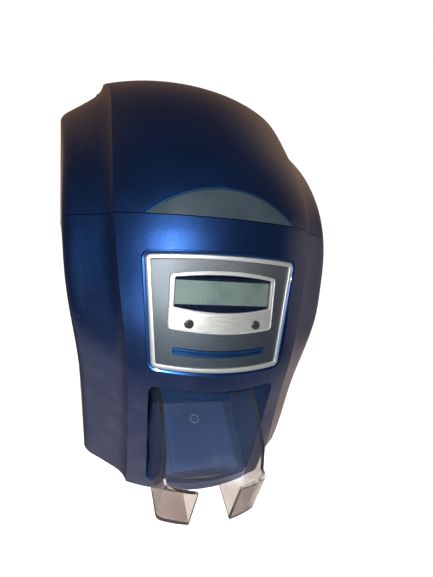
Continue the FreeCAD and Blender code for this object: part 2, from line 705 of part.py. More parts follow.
pins = []
PIN_LENGTH = "arm_thickness + bracket_gap + bracket_thickness + pin_end + pin_end"
for start in ("arm_inner - pin_end", f"pin_end - arm_inner - ({PIN_LENGTH})"):
    pins.append(rod(f"hinge_pin_{len(pins)}", "hinge_pin_radius", PIN_LENGTH, start,
                    FRONT + " + hinge_back", "foot_height + hinge_level"))
keep("hinge_pins", group("hinge_pins", pins))


# Control panel
glass_wide = size("screen_half_width") * 2 + size("module_margin")
glass_high = size("screen_height") + size("module_margin")


def make_dish():
    """The blue moulding behind the panel: a curved tray whose rim shows round the bezel."""
    body = panel_layer("bezel", moat, size("dish_sink"), size("dish_depth"))
    body = body.cut(panel_layer("bezel", seat, -over, size("dish_floor")))
    body = body.cut(panel_prism("window", size("window_corner")))
    body = body.cut(flat_prism(0.0, size("screen_mid"), glass_wide + gap + gap, glass_high + gap + gap,
                               gap - size("screen_depth"), -size("screen_depth") - over))
    for side in (-1, 1):
        body = body.cut(button_bore(side, size("button_gap") + size("button_flange")))
    return body.cut(slot_cutter(seat, size("throat_length")))


def button_bore(side, grow):
    """A bore along the panel's outward line at a button, grown by a distance."""
    start = on_panel(side * size("button_offset"), -size("button_drop"), -over)
    return Part.makeCylinder(size("button_radius") + grow, over + over, start, panel_out)


solid("panel_dish", make_dish())
bezel_width = size("bezel_width")
bezel = panel_layer("bezel", 0.0, 0.0, size("bezel_depth")).cut(panel_prism("bezel", -bezel_width))
solid("panel_bezel", bezel)
plate_cut = slot_cutter(0.0, size("throat_length"))
plate = panel_layer("bezel", -bezel_width - seat / 2, size("plate_sink"), size("plate_depth"))
plate = plate.cut(panel_prism("surround", seat / 2)).cut(plate_cut)
solid("panel_plate", plate)
surround = panel_layer("surround", 0.0, size("surround_sink"), size("plate_depth"))
surround = surround.cut(panel_prism("window", 0.0))
for side in (-1, 1):
    surround = surround.cut(button_bore(side, size("button_gap")))
solid("panel_surround", surround)
solid("display_window", panel_layer("window", -seat / 2, size("window_sink"), size("plate_depth")))


def make_display():
    """The liquid-crystal module: a glass frame on its circuit board, flat behind the window."""
    depth = size("screen_depth")
    margin = size("module_margin")
    middle = size("screen_mid")
    back_face = depth + size("module_thickness")
    glass = flat_prism(0.0, middle, glass_wide, glass_high, -depth, -back_face)
    board = flat_prism(0.0, middle, glass_wide + margin + margin, glass_high + margin + margin,
                       -back_face, -back_face - size("board_thickness"))
    pieces = [board]
    post_across = (glass_wide + margin) / 2
    post_up = (glass_high + margin) / 2
    for side in (-1, 1):
        for end in (-1, 1):
            pieces.append(dish_post(side * post_across, middle + end * post_up, -back_face))
    return glass.fuse(pieces)


def dish_post(across, up, out):
    """A round post from a board at a distance out to the back of the dish."""
    post = Part.makeCylinder(size("post_radius"), over + over, on_panel(across, up, out), panel_out)
    return post.common(drum(size("dish_depth") + seat))


solid("display_module", make_display())
panel_board_out = -size("button_length") - size("button_proud") - size("dish_depth")


def make_panel_board():
    """The small board behind the buttons, with a switch under each."""
    margin = size("module_margin")
    top = -size("button_drop") + margin
    bottom = -size("button_drop") - margin
    board = flat_prism(0.0, (top + bottom) / 2, size("button_offset") * 2 + margin * 2, top - bottom,
                       panel_board_out, panel_board_out - size("board_thickness"))
    reach = button_end - size("button_travel") - seat - panel_board_out
    for side in (-1, 1):
        board = board.fuse(dish_post(side * size("button_offset") / 2, -size("button_drop"), panel_board_out))
        start = on_panel(side * size("button_offset"), -size("button_drop"), panel_board_out)
        board = board.fuse(Part.makeCylinder(size("button_radius"), reach, start, panel_out))
    return board


button_face = size("button_proud") - sag_at(size("button_offset")) - size("surround_sink")
button_end = button_face - size("button_length")
solid("panel_board", make_panel_board())


def make_button(side):
    """A round button with a domed face and a flange that stops it behind the dish."""
    base = on_panel(side * size("button_offset"), -size("button_drop"), button_end)
    stem = Part.makeCylinder(size("button_radius"), size("button_length"), base, panel_out)
    top = base + panel_out * size("button_length")
    rim_edges = [edge for edge in stem.Edges if (edge.CenterOfMass - top).Length < size("button_gap")]
    stem = stem.makeFillet(size("button_proud") / 2, rim_edges)
    outside = size("button_offset") + size("button_radius") + size("button_flange")
    flange_out = -size("plate_depth") - sag_at(outside) - seat - size("button_flange")
    seat_point = on_panel(side * size("button_offset"), -size("button_drop"), flange_out)
    return stem.fuse(Part.makeCylinder(size("button_radius") + size("button_flange"), size("button_flange"),
                                       seat_point, panel_out))


for side, name in ((-1, "button_left"), (1, "button_right")):
    solid(name, make_button(side))


def make_throat():
    """The hand-feed slot's liner: a flat tube from the panel's face into the machine."""
    skin = slot_cutter(-seat / 2, size("throat_length")).common(drum(size("slot_sink")))
    bore = slot_cutter(-size("slot_wall"), size("throat_length") + over)
    return skin.cut(bore)


solid("slot_throat", make_throat())


# Card chute and output tray
chute_y0 = back("chute_front_back")
chute_y1 = chute_y0 + size("chute_length")
chute_z0 = level("chute_front_level")
chute_rise = tan(radians(size("chute_slope")))
base_top = foot + size("plate_thickness")


def chute_line(y):
    """The height of the chute's raised floor at a place along Y."""
    return chute_z0 + (y - chute_y0) * chute_rise


def wedge(across, y0, y1, z0, drop):
    """A block across the chute, from a level up to the chute's slope lowered by a drop."""
    return prism([(y0, z0), (y0, chute_line(y0) - drop), (y1, chute_line(y1) - drop), (y1, z0)],
                 -across, across)


def make_chute():
    """The navy chute: a stepped sloping floor between ledges, with side and back walls."""
    high = size("chute_half_width")
    low = size("chute_step_half_width")
    step = size("chute_step")
    side_in = size("mouth_half_width") + gap
    side_out = side_in + size("chute_wall")
    top = level("mouth_top")
    floor = size("chute_floor")
    ledge = size("chute_ledge")
    y0, y1 = chute_y0 + floor, chute_y1 - floor
    hollow = wedge(high - floor, y0, y1, base_top - over, floor).fuse(
        wedge(low - floor, y0, y1, base_top - over, step + floor))
    chute = wedge(high, chute_y0, chute_y1, base_top, 0.0).fuse([
        wedge(low, chute_y0, chute_y1, base_top, step),
        slab(-side_out, side_out, chute_y0, chute_y1, base_top, base_top + ledge),
        slab(-side_out, -side_in, chute_y0, chute_y1, base_top, top),
        slab(side_in, side_out, chute_y0, chute_y1, base_top, top),
        slab(-side_out, side_out, chute_y1, chute_y1 + floor, base_top, top),
    ]).cut(hollow)
    ring_y = chute_y0 + size("chute_ring_back")
    ring_foot = Vector(size("chute_ring_shift"), ring_y, chute_line(ring_y) - size("chute_ring_depth"))
    slope = radians(size("chute_slope"))
    normal = Vector(0, -sin(slope), cos(slope))
    radius = size("chute_ring_radius")
    outer = Part.makeCylinder(radius, floor, ring_foot, normal)
    inner = Part.makeCylinder(radius - size("chute_ring_width"), floor, ring_foot, normal)
    chute = chute.cut(outer.cut(inner))
    return chute.common(form(wall + gap))


solid("card_chute", make_chute())


def tray_block(inset, y1, z1):
    """What the tray's outline holds: straight sides, a bowed front and round front corners."""
    across = size("tray_half_width") - inset
    left, right = size("tray_shift") - across, size("tray_shift") + across
    y0 = front - size("tray_reach") + inset
    side_y0 = y0 + size("tray_bow")
    tip = Vector(size("tray_shift") + size("tray_gap_half"), y0, 0)
    bow = Part.Arc(Vector(left, side_y0, 0), tip, Vector(right, side_y0, 0))
    sides = Part.makePolygon([Vector(right, side_y0, 0), Vector(right, y1, 0), Vector(left, y1, 0),
                              Vector(left, side_y0, 0)])
    block = Part.Face(Part.Wire([bow.toShape(), *sides.Edges])).extrude(Vector(0, 0, z1))
    return rounded(block, UPWARD, size("tray_corner") - inset)


def make_tray():
    """The clear tray: side walls, two prongs and a plate before the casing, and a sloping floor behind."""
    y_end = back("tray_back")
    y_seat = back("tray_seat_back")
    y_front = front - size("tray_reach") - over
    high = level("tray_wall_level")
    prong = level("tray_prong_level")
    thick = size("tray_floor")
    middle = size("tray_shift")
    opening = size("tray_gap_half")
    lift = size("tray_lift")

    def under(y):
        """The underside of the sloping floor at a place along Y."""
        return chute_line(y) + lift

    outer = tray_block(0.0, y_end + over, high + over)
    inner = tray_block(size("tray_wall"), y_end + over + over, high + over)
    side = [(y_front, foot), (y_seat, foot), (y_seat, under(y_seat)), (y_end, under(y_end)), (y_end, high),
            (back("tray_rise_back"), high), (back("tray_bend_back"), level("tray_bend_level")),
            (back("tray_knee_back"), prong), (y_front, prong)]
    walls = outer.cut(inner).common(prism(side, -half, half))
    plate = outer.common(slab(-half, half, y_front, y_seat, foot, foot + thick))
    casing = form(-gap)
    below = prism([(y_front, 0), (y_seat, 0), (y_seat, under(y_seat)), (y_front, under(y_front))],
                  -half, half)
    before = walls.fuse(plate).cut(casing.common(below))
    before = before.cut(slab(middle - opening, middle + opening, y_front, y_seat, 0, high))
    slope = prism([(y_front, under(y_front)), (y_end, under(y_end)), (y_end, under(y_end) + thick),
                   (y_front, under(y_front) + thick)], -half, half)
    return before.fuse(outer.common(slope).common(casing))


solid("output_tray", make_tray())


# Chassis: base plate, frames, inner deck, feet and screws
def make_base_plate():
    """The bottom plate, cut to the casing's inside."""
    plate_slab = slab(-half, half, front, rear - wall - gap, foot, base_top)
    return plate_slab.common(form(wall + gap))


solid("base_plate", make_base_plate())


def make_inner_deck():
    """The moulded deck under the lid, with the print bay cut out of it."""
    z0 = level("deck_plate_level")
    z1 = z0 + size("deck_plate_thickness")
    y_end = rear_cut + size("rear_cut_gap") + wall
    deck = slab(-half, half, back("deck_front_back"), y_end, z0, z1).common(form(wall + gap))
    bay = size("bay_half_width")
    return deck.cut(slab(-bay, bay, back("bay_front_back"), hinge_y - boss - gap, z0 - over, z0 + over))


solid("inner_deck", make_inner_deck())

path_z = level("path_level")
SHAFTS = {
    "platen": ("platen_back", "platen_radius", 0.0),
    "feed_front": ("feed_front_back", "feed_radius", 0.0),
    "feed_rear": ("feed_rear_back", "feed_radius", 0.0),
    "pick": ("pick_back", "pick_radius", 1.0),
}


def shaft_z(name):
    """The height of a roller's axis below the card path."""
    place_name, radius_name, pick = SHAFTS[name]
    if pick:
        return level("frame_rear_level") + size("hopper_floor") + size("pick_proud") - size(radius_name)
    return path_z - size(radius_name)


pinion_z = shaft_z("platen") - size("feed_gear_radius") - size("pinion_radius") - size("gear_gap")
bush_outer = size("shaft_radius") + size("shaft_clearance") + size("bush_wall")
frame_outer = size("frame_inner") + size("frame_thickness")
cleaning_z = path_z + size("card_gap") + size("cleaning_radius")
pinch_z = path_z + size("card_gap") + size("pinch_radius")


def make_frame(side):
    """A folded steel side plate with bored seats for the bushes and open slots for the spools."""
    x0, x1 = on_side(side, size("frame_inner"), frame_outer)
    y0, step, y1 = back("frame_front_back"), back("frame_step_back"), back("frame_end_back")
    low, shoulder, top = base_top, level("frame_rear_level"), level("frame_level")
    plate = prism([(y0, low), (y1, low), (y1, shoulder), (step, shoulder), (step, top), (y0, top)], x0, x1)
    for name in SHAFTS:
        plate = plate.cut(bar(bush_outer, x0, x1, back(SHAFTS[name][0]), shaft_z(name)))
    thin = size("pinch_shaft_radius") + size("shaft_clearance")
    for name in ("feed_front", "feed_rear"):
        plate = plate.cut(bar(thin, x0, x1, back(SHAFTS[name][0]), pinch_z))
    plate = plate.cut(bar(thin, x0, x1, back("cleaning_back"), cleaning_z))
    radius = size("spool_axle_radius") + size("shaft_clearance")
    for name in ("takeup_back", "supply_back"):
        y, z = back(name), level("spool_level")
        plate = plate.cut(bar(radius, x0, x1, y, z))
        plate = plate.cut(slab(x0, x1, y - radius, y + radius, z, top + over))
    if side > 0:
        plate = plate.cut(bar(size("motor_shaft_radius") + gap, x0, x1, platen_y, pinion_z))
    return plate


for side, name in ((-1, "frame_left"), (1, "frame_right")):
    solid(name, make_frame(side))

ties = []
for number, (along, up) in enumerate((("frame_front_back + tie_inset", "tie_high"),
                                      ("frame_step_back - tie_inset", "seam_level - tie_drop"),
                                      ("frame_end_back - tie_inset", "tie_low"))):
    ties.append(rod(f"tie_{number}", "tie_radius", "frame_inner * 2", "-frame_inner", f"{FRONT} + {along}",
                    f"foot_height + {up}"))
keep("tie_bars", group("tie_bars", ties))

feet = []
for side in ("-1", "1"):
    for along in (FRONT + " + foot_inset", REAR + " - foot_inset"):
        feet.append(rod(f"foot_{len(feet)}", "foot_radius", "foot_height", side + " * foot_across", along,
                        "0", FreeCAD.Rotation()))
keep("rubber_feet", group("rubber_feet", feet))

screws = []
for side in ("-1", "1"):
    for up in ("screw_low", "seam_level - screw_inset"):
        screws.append(rod(f"screw_{len(screws)}", "screw_radius", "wall",
                          side + " * (casing_width / 2 - screw_inset)", REAR + " - wall",
                          "foot_height + " + up, BACKWARDS))
keep("casing_screws", group("casing_screws", screws))


# Rollers, bushes, gears and motors
def make_bushes():
    """A plain bearing in each frame for each driven shaft."""
    rings = []
    for name in SHAFTS:
        for side in (-1, 1):
            x0, x1 = on_side(side, size("frame_inner"), frame_outer)
            y, z = back(SHAFTS[name][0]), shaft_z(name)
            bore = bar(size("shaft_radius") + size("shaft_clearance"), x0, x1, y, z)
            rings.append(bar(bush_outer, x0, x1, y, z).cut(bore))
    return Part.Compound(rings)


solid("roller_bushes", make_bushes())


def roller(name, radius, half_width, along, up, end):
    """A rubber sleeve on its steel shaft: the shaft and the sleeve."""
    shaft = rod(f"{name}_shaft", "shaft_radius", "(frame_inner + frame_thickness) * 2" + end,
                "-(frame_inner + frame_thickness)", along, up)
    sleeve = rod(f"{name}_sleeve", radius, f"({half_width}) * 2", f"-({half_width})", along, up)
    bore = rod(f"{name}_bore", "shaft_radius", f"({half_width}) * 2", f"-({half_width})", along, up)
    return shaft, cut(f"{name}_tube", sleeve, bore)


PATH = "foot_height + path_level"
driven = {}
for name in ("platen", "feed_front", "feed_rear"):
    radius_name = SHAFTS[name][1]
    driven[name], tube = roller(name, radius_name, "frame_inner - sleeve_gap", f"{FRONT} + {name}_back",
                                f"{PATH} - {radius_name}", " + shaft_end")
    keep(f"{name}_roller", tube)
keep("platen_shaft", driven["platen"])
pick_pair = roller("pick", "pick_radius", "pick_half_width", FRONT + " + pick_back",
                   "foot_height + frame_rear_level + hopper_floor + pick_proud - pick_radius", "")
keep("pick_roller", group("pick_roller", pick_pair))


def idle_roller(name, radius, along, up):
    """A free roller with its thin ends resting in the frames."""
    sleeve = rod(f"{name}_sleeve", radius, "(frame_inner - sleeve_gap) * 2", "-(frame_inner - sleeve_gap)",
                 along, up)
    ends = rod(f"{name}_ends", "pinch_shaft_radius", "(frame_inner + frame_thickness) * 2",
               "-(frame_inner + frame_thickness)", along, up)
    keep(name, joined(name, [sleeve, ends]))


for end in ("front", "rear"):
    idle_roller(f"pinch_{end}", "pinch_radius", f"{FRONT} + feed_{end}_back",
                PATH + " + card_gap + pinch_radius")
idle_roller("cleaning_roller", "cleaning_radius", FRONT + " + cleaning_back",
            PATH + " + card_gap + cleaning_radius")

gear_x = frame_outer + size("gear_offset")
# A tooth's and a notch's width together, as a share of the tooth's depth
TOOTH_PITCH_SHARE = 2.2


def make_gear(radius, y, z, bore):
    """A spur gear whose rim is notched all round, on a shaft along X."""
    gear_end = gear_x + size("gear_width")
    depth = size("tooth_depth")
    count = int(pi * radius / (depth * TOOTH_PITCH_SHARE))
    notch = depth * TOOTH_PITCH_SHARE / 2
    cutters = []
    for tooth in range(count):
        cutter = slab(gear_x - depth, gear_end + depth, -notch / 2, notch / 2, radius - depth, radius + depth)
        cutter.rotate(Vector(), ACROSS, degrees(2 * pi * tooth / count))
        cutter.translate(Vector(0, y, z))
        cutters.append(cutter)
    wheel = bar(radius, gear_x, gear_end, y, z).cut(Part.Compound(cutters))
    return wheel.cut(bar(bore, gear_x, gear_end, y, z))


solid("platen_gear", make_gear(size("feed_gear_radius"), platen_y, shaft_z("platen"), size("shaft_radius")))
for name in ("feed_front", "feed_rear"):
    wheel = doc.addObject("Part::Feature", f"{name}_gear")
    wheel.Shape = make_gear(size("feed_gear_radius"), back(SHAFTS[name][0]), shaft_z(name),
                            size("shaft_radius"))
    keep(f"{name}_shaft", group(f"{name}_drive", [driven[name], wheel]))
studs = []
for end in ("front", "rear"):
    y = (platen_y + back(f"feed_{end}_back")) / 2
    z = (shaft_z("platen") + shaft_z(f"feed_{end}")) / 2
    stud = size("motor_shaft_radius")
    solid(f"idler_{end}_gear", make_gear(size("idler_radius"), y, z, stud + size("shaft_clearance")))
    studs.append(bar(stud, frame_outer, gear_x + size("gear_width"), y, z))
solid("idler_studs", Part.Compound(studs))


def motor_bar(radius):
    """A bar along the motor's axis, from the middle of the motor to the pinion's far face."""
    start = size("frame_inner") - size("motor_length") / 2
    return bar(radius, start, gear_x + size("gear_width"), platen_y, pinion_z)


def make_motor():
    """The stepper motor on the inner side of the right frame."""
    square = size("motor_size") / 2
    x1 = size("frame_inner")
    body = slab(x1 - size("motor_length"), x1, platen_y - square, platen_y + square,
                pinion_z - square, pinion_z + square)
    body = rounded(body, ACROSS, size("motor_corner"))
    return body.cut(motor_bar(size("motor_shaft_radius") + size("shaft_clearance")))


solid("feed_motor", make_motor())
shaft = motor_bar(size("motor_shaft_radius"))
pinion = make_gear(size("pinion_radius"), platen_y, pinion_z, size("motor_shaft_radius"))
solid("motor_pinion", Part.Compound([shaft, pinion]))

# Print head and ribbon spools
def make_head():
    """The print head: a finned block with a bevelled print edge and two ears."""
    deep = size("head_length") / 2
    top = head_bottom + size("head_height")
    middle = (head_bottom + top) / 2
    body = slab(-head_half, head_half, platen_y - deep, platen_y + deep, head_bottom, top)
    low_edges = [edge for edge in body.Edges
                 if abs(edge.tangentAt(edge.FirstParameter).x) > PARALLEL_SHARE
                 and edge.CenterOfMass.z < middle]
    body = body.makeChamfer(size("head_bevel"), low_edges)
    groove = size("fin_width")
    pitch = size("fin_pitch")
    count = int(2 * head_half // pitch) - 1
    grooves = []
    for number in range(count):
        x = -head_half + pitch * (number + 1) - groove / 2
        grooves.append(slab(x, x + groove, platen_y - deep - over, platen_y + deep + over,
                            top - size("fin_depth"), top + over))
    body = body.cut(Part.Compound(grooves))
    ears = []
    for side in (-1, 1):
        x0, x1 = on_side(side, head_half - head_plate, head_half)
        ear = slab(x0, x1, platen_y - boss, platen_y + boss, middle, head_pivot_z)
        ears += [ear, bar(boss, x0, x1, platen_y, head_pivot_z)]
    bore = size("head_pivot_radius") + size("hinge_clearance")
    return body.fuse(ears).cut(bar(bore, -half, half, platen_y, head_pivot_z))


solid("print_head", make_head())
keep("head_pivot_pin", rod("head_pivot_pin", "head_pivot_radius",
                           "(head_half_width + bracket_gap + head_plate) * 2",
                           "-(head_half_width + bracket_gap + head_plate)", FRONT + " + platen_back",
                           "foot_height + path_level + card_gap + head_pivot_rise"))


def spool(name, along):
    """A ribbon spool: flanged core on an axle that rests in the frames, and its wound film."""
    y = f"{FRONT} + {along}"
    z = "foot_height + spool_level"
    axle = rod(f"{name}_axle", "spool_axle_radius", "(frame_inner + frame_thickness) * 2",
               "-(frame_inner + frame_thickness)", y, z)
    start = "-(spool_half_width + spool_flange)"
    core = rod(f"{name}_core", "core_radius", "(spool_half_width + spool_flange) * 2", start, y, z)
    left = rod(f"{name}_left", "spool_flange_radius", "spool_flange", start, y, z)
    right = rod(f"{name}_right", "spool_flange_radius", "spool_flange", "spool_half_width", y, z)
    bobbin = joined(f"{name}_bobbin", [axle, core, left, right])
    film = rod(f"{name}_film_outer", "spool_radius", "spool_half_width * 2", "-spool_half_width", y, z)
    hole = rod(f"{name}_film_hole", "core_radius", "spool_half_width * 2", "-spool_half_width", y, z)
    keep(f"{name}_spool", group(f"{name}_spool", [bobbin, cut(f"{name}_film", film, hole)]))


spool("takeup", "takeup_back")
spool("supply", "supply_back")


# Card hopper, weight and cover
hopper_floor_z = level("frame_rear_level")


def make_hopper():
    """The open card bin on a floor plate that rests on the frames."""
    thick = size("hopper_wall")
    floor_top = hopper_floor_z + size("hopper_floor")
    top = deck_top + size("hopper_rim")
    y0 = back("hopper_front_back")
    bin_walls = hopper_box(thick, hopper_floor_z, top).cut(hopper_box(0.0, floor_top, top + over))
    floor = slab(-frame_outer, frame_outer, y0 - thick, hopper_end, hopper_floor_z, floor_top)
    feed = slab(-size("hopper_half_width"), size("hopper_half_width"), y0 - over, y0 + thick,
                floor_top, floor_top + size("card_gap"))
    reach = size("pick_radius") + gap
    across = size("pick_half_width") + gap
    pick_y = back("pick_back")
    window = slab(-across, across, pick_y - reach, pick_y + reach, hopper_floor_z - over, floor_top + over)
    return bin_walls.fuse(floor).cut(feed.fuse(window))


solid("card_hopper", make_hopper())


def make_weight():
    """The card weight: a rounded plate with a knob, free to slide in the hopper."""
    clear = size("weight_gap")
    z0 = hopper_floor_z + size("hopper_floor") + size("pick_proud") + gap
    top = z0 + size("weight_height")
    plate = rounded(hopper_box(-clear, z0, top), UPWARD, size("weight_corner"))
    centre_y = back("hopper_front_back") + size("hopper_length") / 2
    neck = Part.makeCylinder(size("weight_neck_radius"), size("weight_knob"), Vector(0, centre_y, top))
    head = Part.makeCylinder(size("weight_knob_radius"), size("weight_cap"),
                             Vector(0, centre_y, top + size("weight_knob")))
    return plate.fuse([neck, head])


solid("card_weight", make_weight())


def make_cover():
    """The hopper's lid: a shallow cap with a front lip and a knuckle behind."""
    across = size("hopper_half_width") + size("hopper_wall") + size("cover_margin")
    end = cover_pin_y - size("cover_knuckle_radius") - gap
    cap = rounded(slab(-across, across, cover_y0, end, cover_z, cover_pin_z), UPWARD, size("cover_corner"))
    reach = size("cover_knuckle_half")
    tongue = slab(-reach, reach, end - wall, cover_pin_y, cover_z, cover_pin_z)
    knuckle = bar(size("cover_knuckle_radius"), -reach, reach, cover_pin_y, cover_pin_z)
    bore = bar(size("cover_pin_radius") + size("hinge_clearance"), -reach, reach, cover_pin_y, cover_pin_z)
    return cap.fuse([tongue, knuckle]).cut(bore)


solid("hopper_cover", make_cover())
HOPPER_END = FRONT + " + hopper_front_back + hopper_length + hopper_wall"
keep("cover_pin", rod("cover_pin", "cover_pin_radius", "(cover_knuckle_half + fit_gap + cover_ear_width) * 2",
                      "-(cover_knuckle_half + fit_gap + cover_ear_width)",
                      HOPPER_END + " + fit_gap + cover_knuckle_radius",
                      "foot_height + deck_level + hopper_rim + cover_gap + cover_thickness"))


# Electrics
keep("power_supply", block("power_supply", "supply_box_half * 2", "supply_box_length", "supply_box_height",
                           "-supply_box_half", FRONT + " + supply_box_back",
                           "foot_height + plate_thickness"))
# Where the main board's larger parts sit, as shares of its length and height
CHIP_SHARES = ((0.15, 0.2), (0.45, 0.55), (0.7, 0.2))


def make_main_board():
    """The main board, upright beside the left frame on four posts, with a few parts on it."""
    x1 = -frame_outer - size("board_offset")
    x0 = x1 - size("board_thickness")
    y0 = back("board_back")
    y1 = y0 + size("board_length")
    z0 = level("board_level")
    z1 = z0 + size("board_height")
    board = slab(x0, x1, y0, y1, z0, z1)
    inset = size("board_post_inset")
    pieces = []
    for y in (y0 + inset, y1 - inset):
        for z in (z0 + inset, z1 - inset):
            pieces.append(bar(size("screw_radius"), x1, x1 + size("board_offset"), y, z))
    chip = size("chip_size")
    for share_y, share_z in CHIP_SHARES:
        y = y0 + size("board_length") * share_y
        z = z0 + size("board_height") * share_z
        pieces.append(slab(x0 - size("chip_height"), x0, y, y + chip, z, z + chip))
    return board.fuse(pieces)


solid("main_board", make_main_board())

inlet_z = level("inlet_level")


def socket_block(across, width, height, depth, flange):
    """A socket body, flush with the rear wall that it fills, with a flange on the wall's inner side."""
    x0, x1 = across - width / 2, across + width / 2
    z0, z1 = inlet_z - height / 2, inlet_z + height / 2
    body = slab(x0, x1, rear - depth, rear, z0, z1)
    lip = slab(x0 - flange, x1 + flange, rear - wall - flange, rear - wall, z0 - flange, z1 + flange)
    return body.fuse(lip)


def socket_bore(across, width, height, depth, thin):
    """The hollow of a socket: a block open to the rear, with walls and an end this thin."""
    return slab(across - width / 2 + thin, across + width / 2 - thin, rear - depth + thin, rear + over,
                inlet_z - height / 2 + thin, inlet_z + height / 2 - thin)


def make_inlet():
    """The mains inlet: a recessed socket with three pins."""
    width, height, depth = size("inlet_width"), size("inlet_height"), size("inlet_depth")
    flange = size("inlet_flange")
    across = size("inlet_across")
    body = socket_block(across, width, height, depth, flange)
    body = body.cut(socket_bore(across, width, height, depth, flange))
    pin = size("inlet_pin")
    y0, y1 = rear - depth + flange, rear - wall
    for step in (-1, 0, 1):
        x = across + step * size("inlet_pin_pitch")
        z = inlet_z + (pin if step == 0 else -pin)
        body = body.fuse(slab(x - pin / 2, x + pin / 2, y0, y1, z - pin, z + pin))
    return body


rocker_pivot_y = rear - size("rocker_depth") / 2
rocker_width, rocker_height = size("rocker_width"), size("rocker_height")


def make_switch_housing():
    """The power switch's housing with the pin that its rocker tips on."""
    across = size("rocker_across")
    thin = size("rocker_wall")
    body = socket_block(across, rocker_width, rocker_height, size("rocker_depth"), thin)
    body = body.cut(socket_bore(across, rocker_width, rocker_height, size("rocker_depth"), thin))
    reach = (rocker_width - thin) / 2
    return body.fuse(bar(size("rocker_pin_radius"), across - reach, across + reach, rocker_pivot_y, inlet_z))


solid("power_entry", Part.Compound([make_inlet(), make_switch_housing()]))

# The rocker's barrel radius and the half height of its face, as shares of the room above its pin
ROCKER_RADIUS_SHARE = 0.45
ROCKER_FACE_SHARE = 0.8


def make_rocker():
    """The rocker: a round-backed paddle that tips about its pin, at rest with its upper end in."""
    across = size("rocker_across")
    room = size("rocker_wall") + size("rocker_gap")
    wide = rocker_width / 2 - room
    tall = rocker_height / 2 - room
    radius = tall * ROCKER_RADIUS_SHARE
    face = tall * ROCKER_FACE_SHARE
    reach = rear - size("rocker_wall") - rocker_pivot_y
    x0, x1 = across - wide, across + wide
    side = [(0, -radius), (reach, -face), (reach - size("rocker_wall"), 0), (reach, face), (0, radius)]
    paddle = prism([(rocker_pivot_y + y, inlet_z + z) for y, z in side], x0, x1)
    body = bar(radius, x0, x1, rocker_pivot_y, inlet_z).fuse(paddle)
    hole = size("rocker_pin_radius") + size("hinge_clearance")
    body = body.cut(bar(hole, x0, x1, rocker_pivot_y, inlet_z))
    body.rotate(Vector(x0, rocker_pivot_y, inlet_z), ACROSS, size("rocker_tilt"))
    return body


solid("switch_rocker", make_rocker())


def make_usb():
    """The square USB socket with its tongue."""
    side_length = size("usb_size")
    across = size("usb_across")
    thin = (side_length - size("usb_hole")) / 2
    depth = size("usb_depth")
    body = socket_block(across, side_length, side_length, depth, thin)
    body = body.cut(socket_bore(across, side_length, side_length, depth, thin))
    y0, y1 = rear - depth + thin, rear - wall
    return body.fuse(slab(across - thin, across + thin, y0, y1, inlet_z - thin, inlet_z + thin))


def make_network():
    """The network socket, with its latch step below."""
    width, height, depth = size("network_width"), size("network_height"), size("network_depth")
    across = size("network_across")
    thin = size("port_wall")
    body = socket_block(across, width, height, depth, thin)
    z0 = inlet_z - height / 2
    steps = []
    for side in (-1, 1):
        x0, x1 = on_side(side, thin, width / 2 - thin)
        steps.append(slab(across + x0, across + x1, rear - depth, rear, z0, z0 + thin + thin))
    return body.cut(socket_bore(across, width, height, depth, thin)).fuse(steps)


solid("data_ports", Part.Compound([make_usb(), make_network()]))

blower_x = size("fan_across")
blower_z = level("fan_level")
blower_y1 = rear - wall - seat
blower_y0 = blower_y1 - size("fan_depth")
rotor_start = blower_y0 + size("fan_wall") + gap
rotor_end = blower_y1 - size("fan_wall")
BLADES = 7


def make_fan_frame():
    """The square fan frame on the rear wall, with a spoked motor seat."""
    reach = size("fan_size") / 2
    thin = size("fan_wall")
    frame = rounded_bar(blower_x - reach, blower_x + reach, blower_z - reach, blower_z + reach,
                        size("fan_corner"), blower_y0, blower_y1)
    bore = size("fan_blade_radius") + thin / 2
    frame = frame.cut(peg(bore, blower_x, blower_y0, blower_y1, blower_z))
    y0, y1 = blower_y0, blower_y0 + thin
    long = bore + thin / 2
    level_spoke = slab(blower_x - long, blower_x + long, y0, y1, blower_z - thin, blower_z + thin)
    upright_spoke = slab(blower_x - thin, blower_x + thin, y0, y1, blower_z - long, blower_z + long)
    seat_disc = peg(size("fan_hub_radius"), blower_x, y0, y1, blower_z)
    axle = peg(size("fan_pin_radius"), blower_x, y0, rotor_end - thin - gap, blower_z)
    return frame.fuse([level_spoke, upright_spoke, seat_disc, axle])


def make_fan_rotor():
    """The fan's hub with seven slanted blades."""
    thin = size("fan_wall")
    hub_radius = size("fan_hub_radius")
    hub = peg(hub_radius, blower_x, rotor_start, rotor_end, blower_z)
    deep = size("fan_blade_depth") / 2
    blades = []
    for number in range(BLADES):
        blade = slab(-thin / 2, thin / 2, -deep, deep, hub_radius - thin, size("fan_blade_radius") - thin / 2)
        blade.rotate(Vector(), UPWARD, size("fan_blade_turn"))
        blade.rotate(Vector(), BEHIND, degrees(2 * pi * number / BLADES))
        blade.translate(Vector(blower_x, (rotor_start + rotor_end) / 2, blower_z))
        blades.append(blade)
    bore = size("fan_pin_radius") + size("shaft_clearance")
    return hub.fuse(blades).cut(peg(bore, blower_x, rotor_start, rotor_end - thin, blower_z))


solid("fan_frame", make_fan_frame())
solid("fan_rotor", make_fan_rotor())

# Check every object, then write each sub-part to its own file
doc.recompute()
for item in doc.Objects:
    if "Invalid" in item.State or "Error" in item.State:
        raise RuntimeError(f"{item.Name} did not compute: {item.State}")
for name, item in parts.items():
    if item.Shape.isNull() or not item.Shape.isValid() or not item.Shape.Solids:
        raise RuntimeError(f"{name} is not a valid solid")
os.makedirs("parts", exist_ok=True)
for name, item in parts.items():
    item.Shape.exportStep(f"parts/{name}.step")
print(len(parts), "sub-parts written")
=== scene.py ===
# %% [markdown]
# # A desktop card printer
# The machine is a navy casing under a domed lid. Its construction is already fixed: every solid piece is
# loaded at its true size. This lesson gives each one its finish, and adds the fine pieces that a maker
# would mould, press or paint. We load the fixed frame first, because all later places are worked out from
# it.

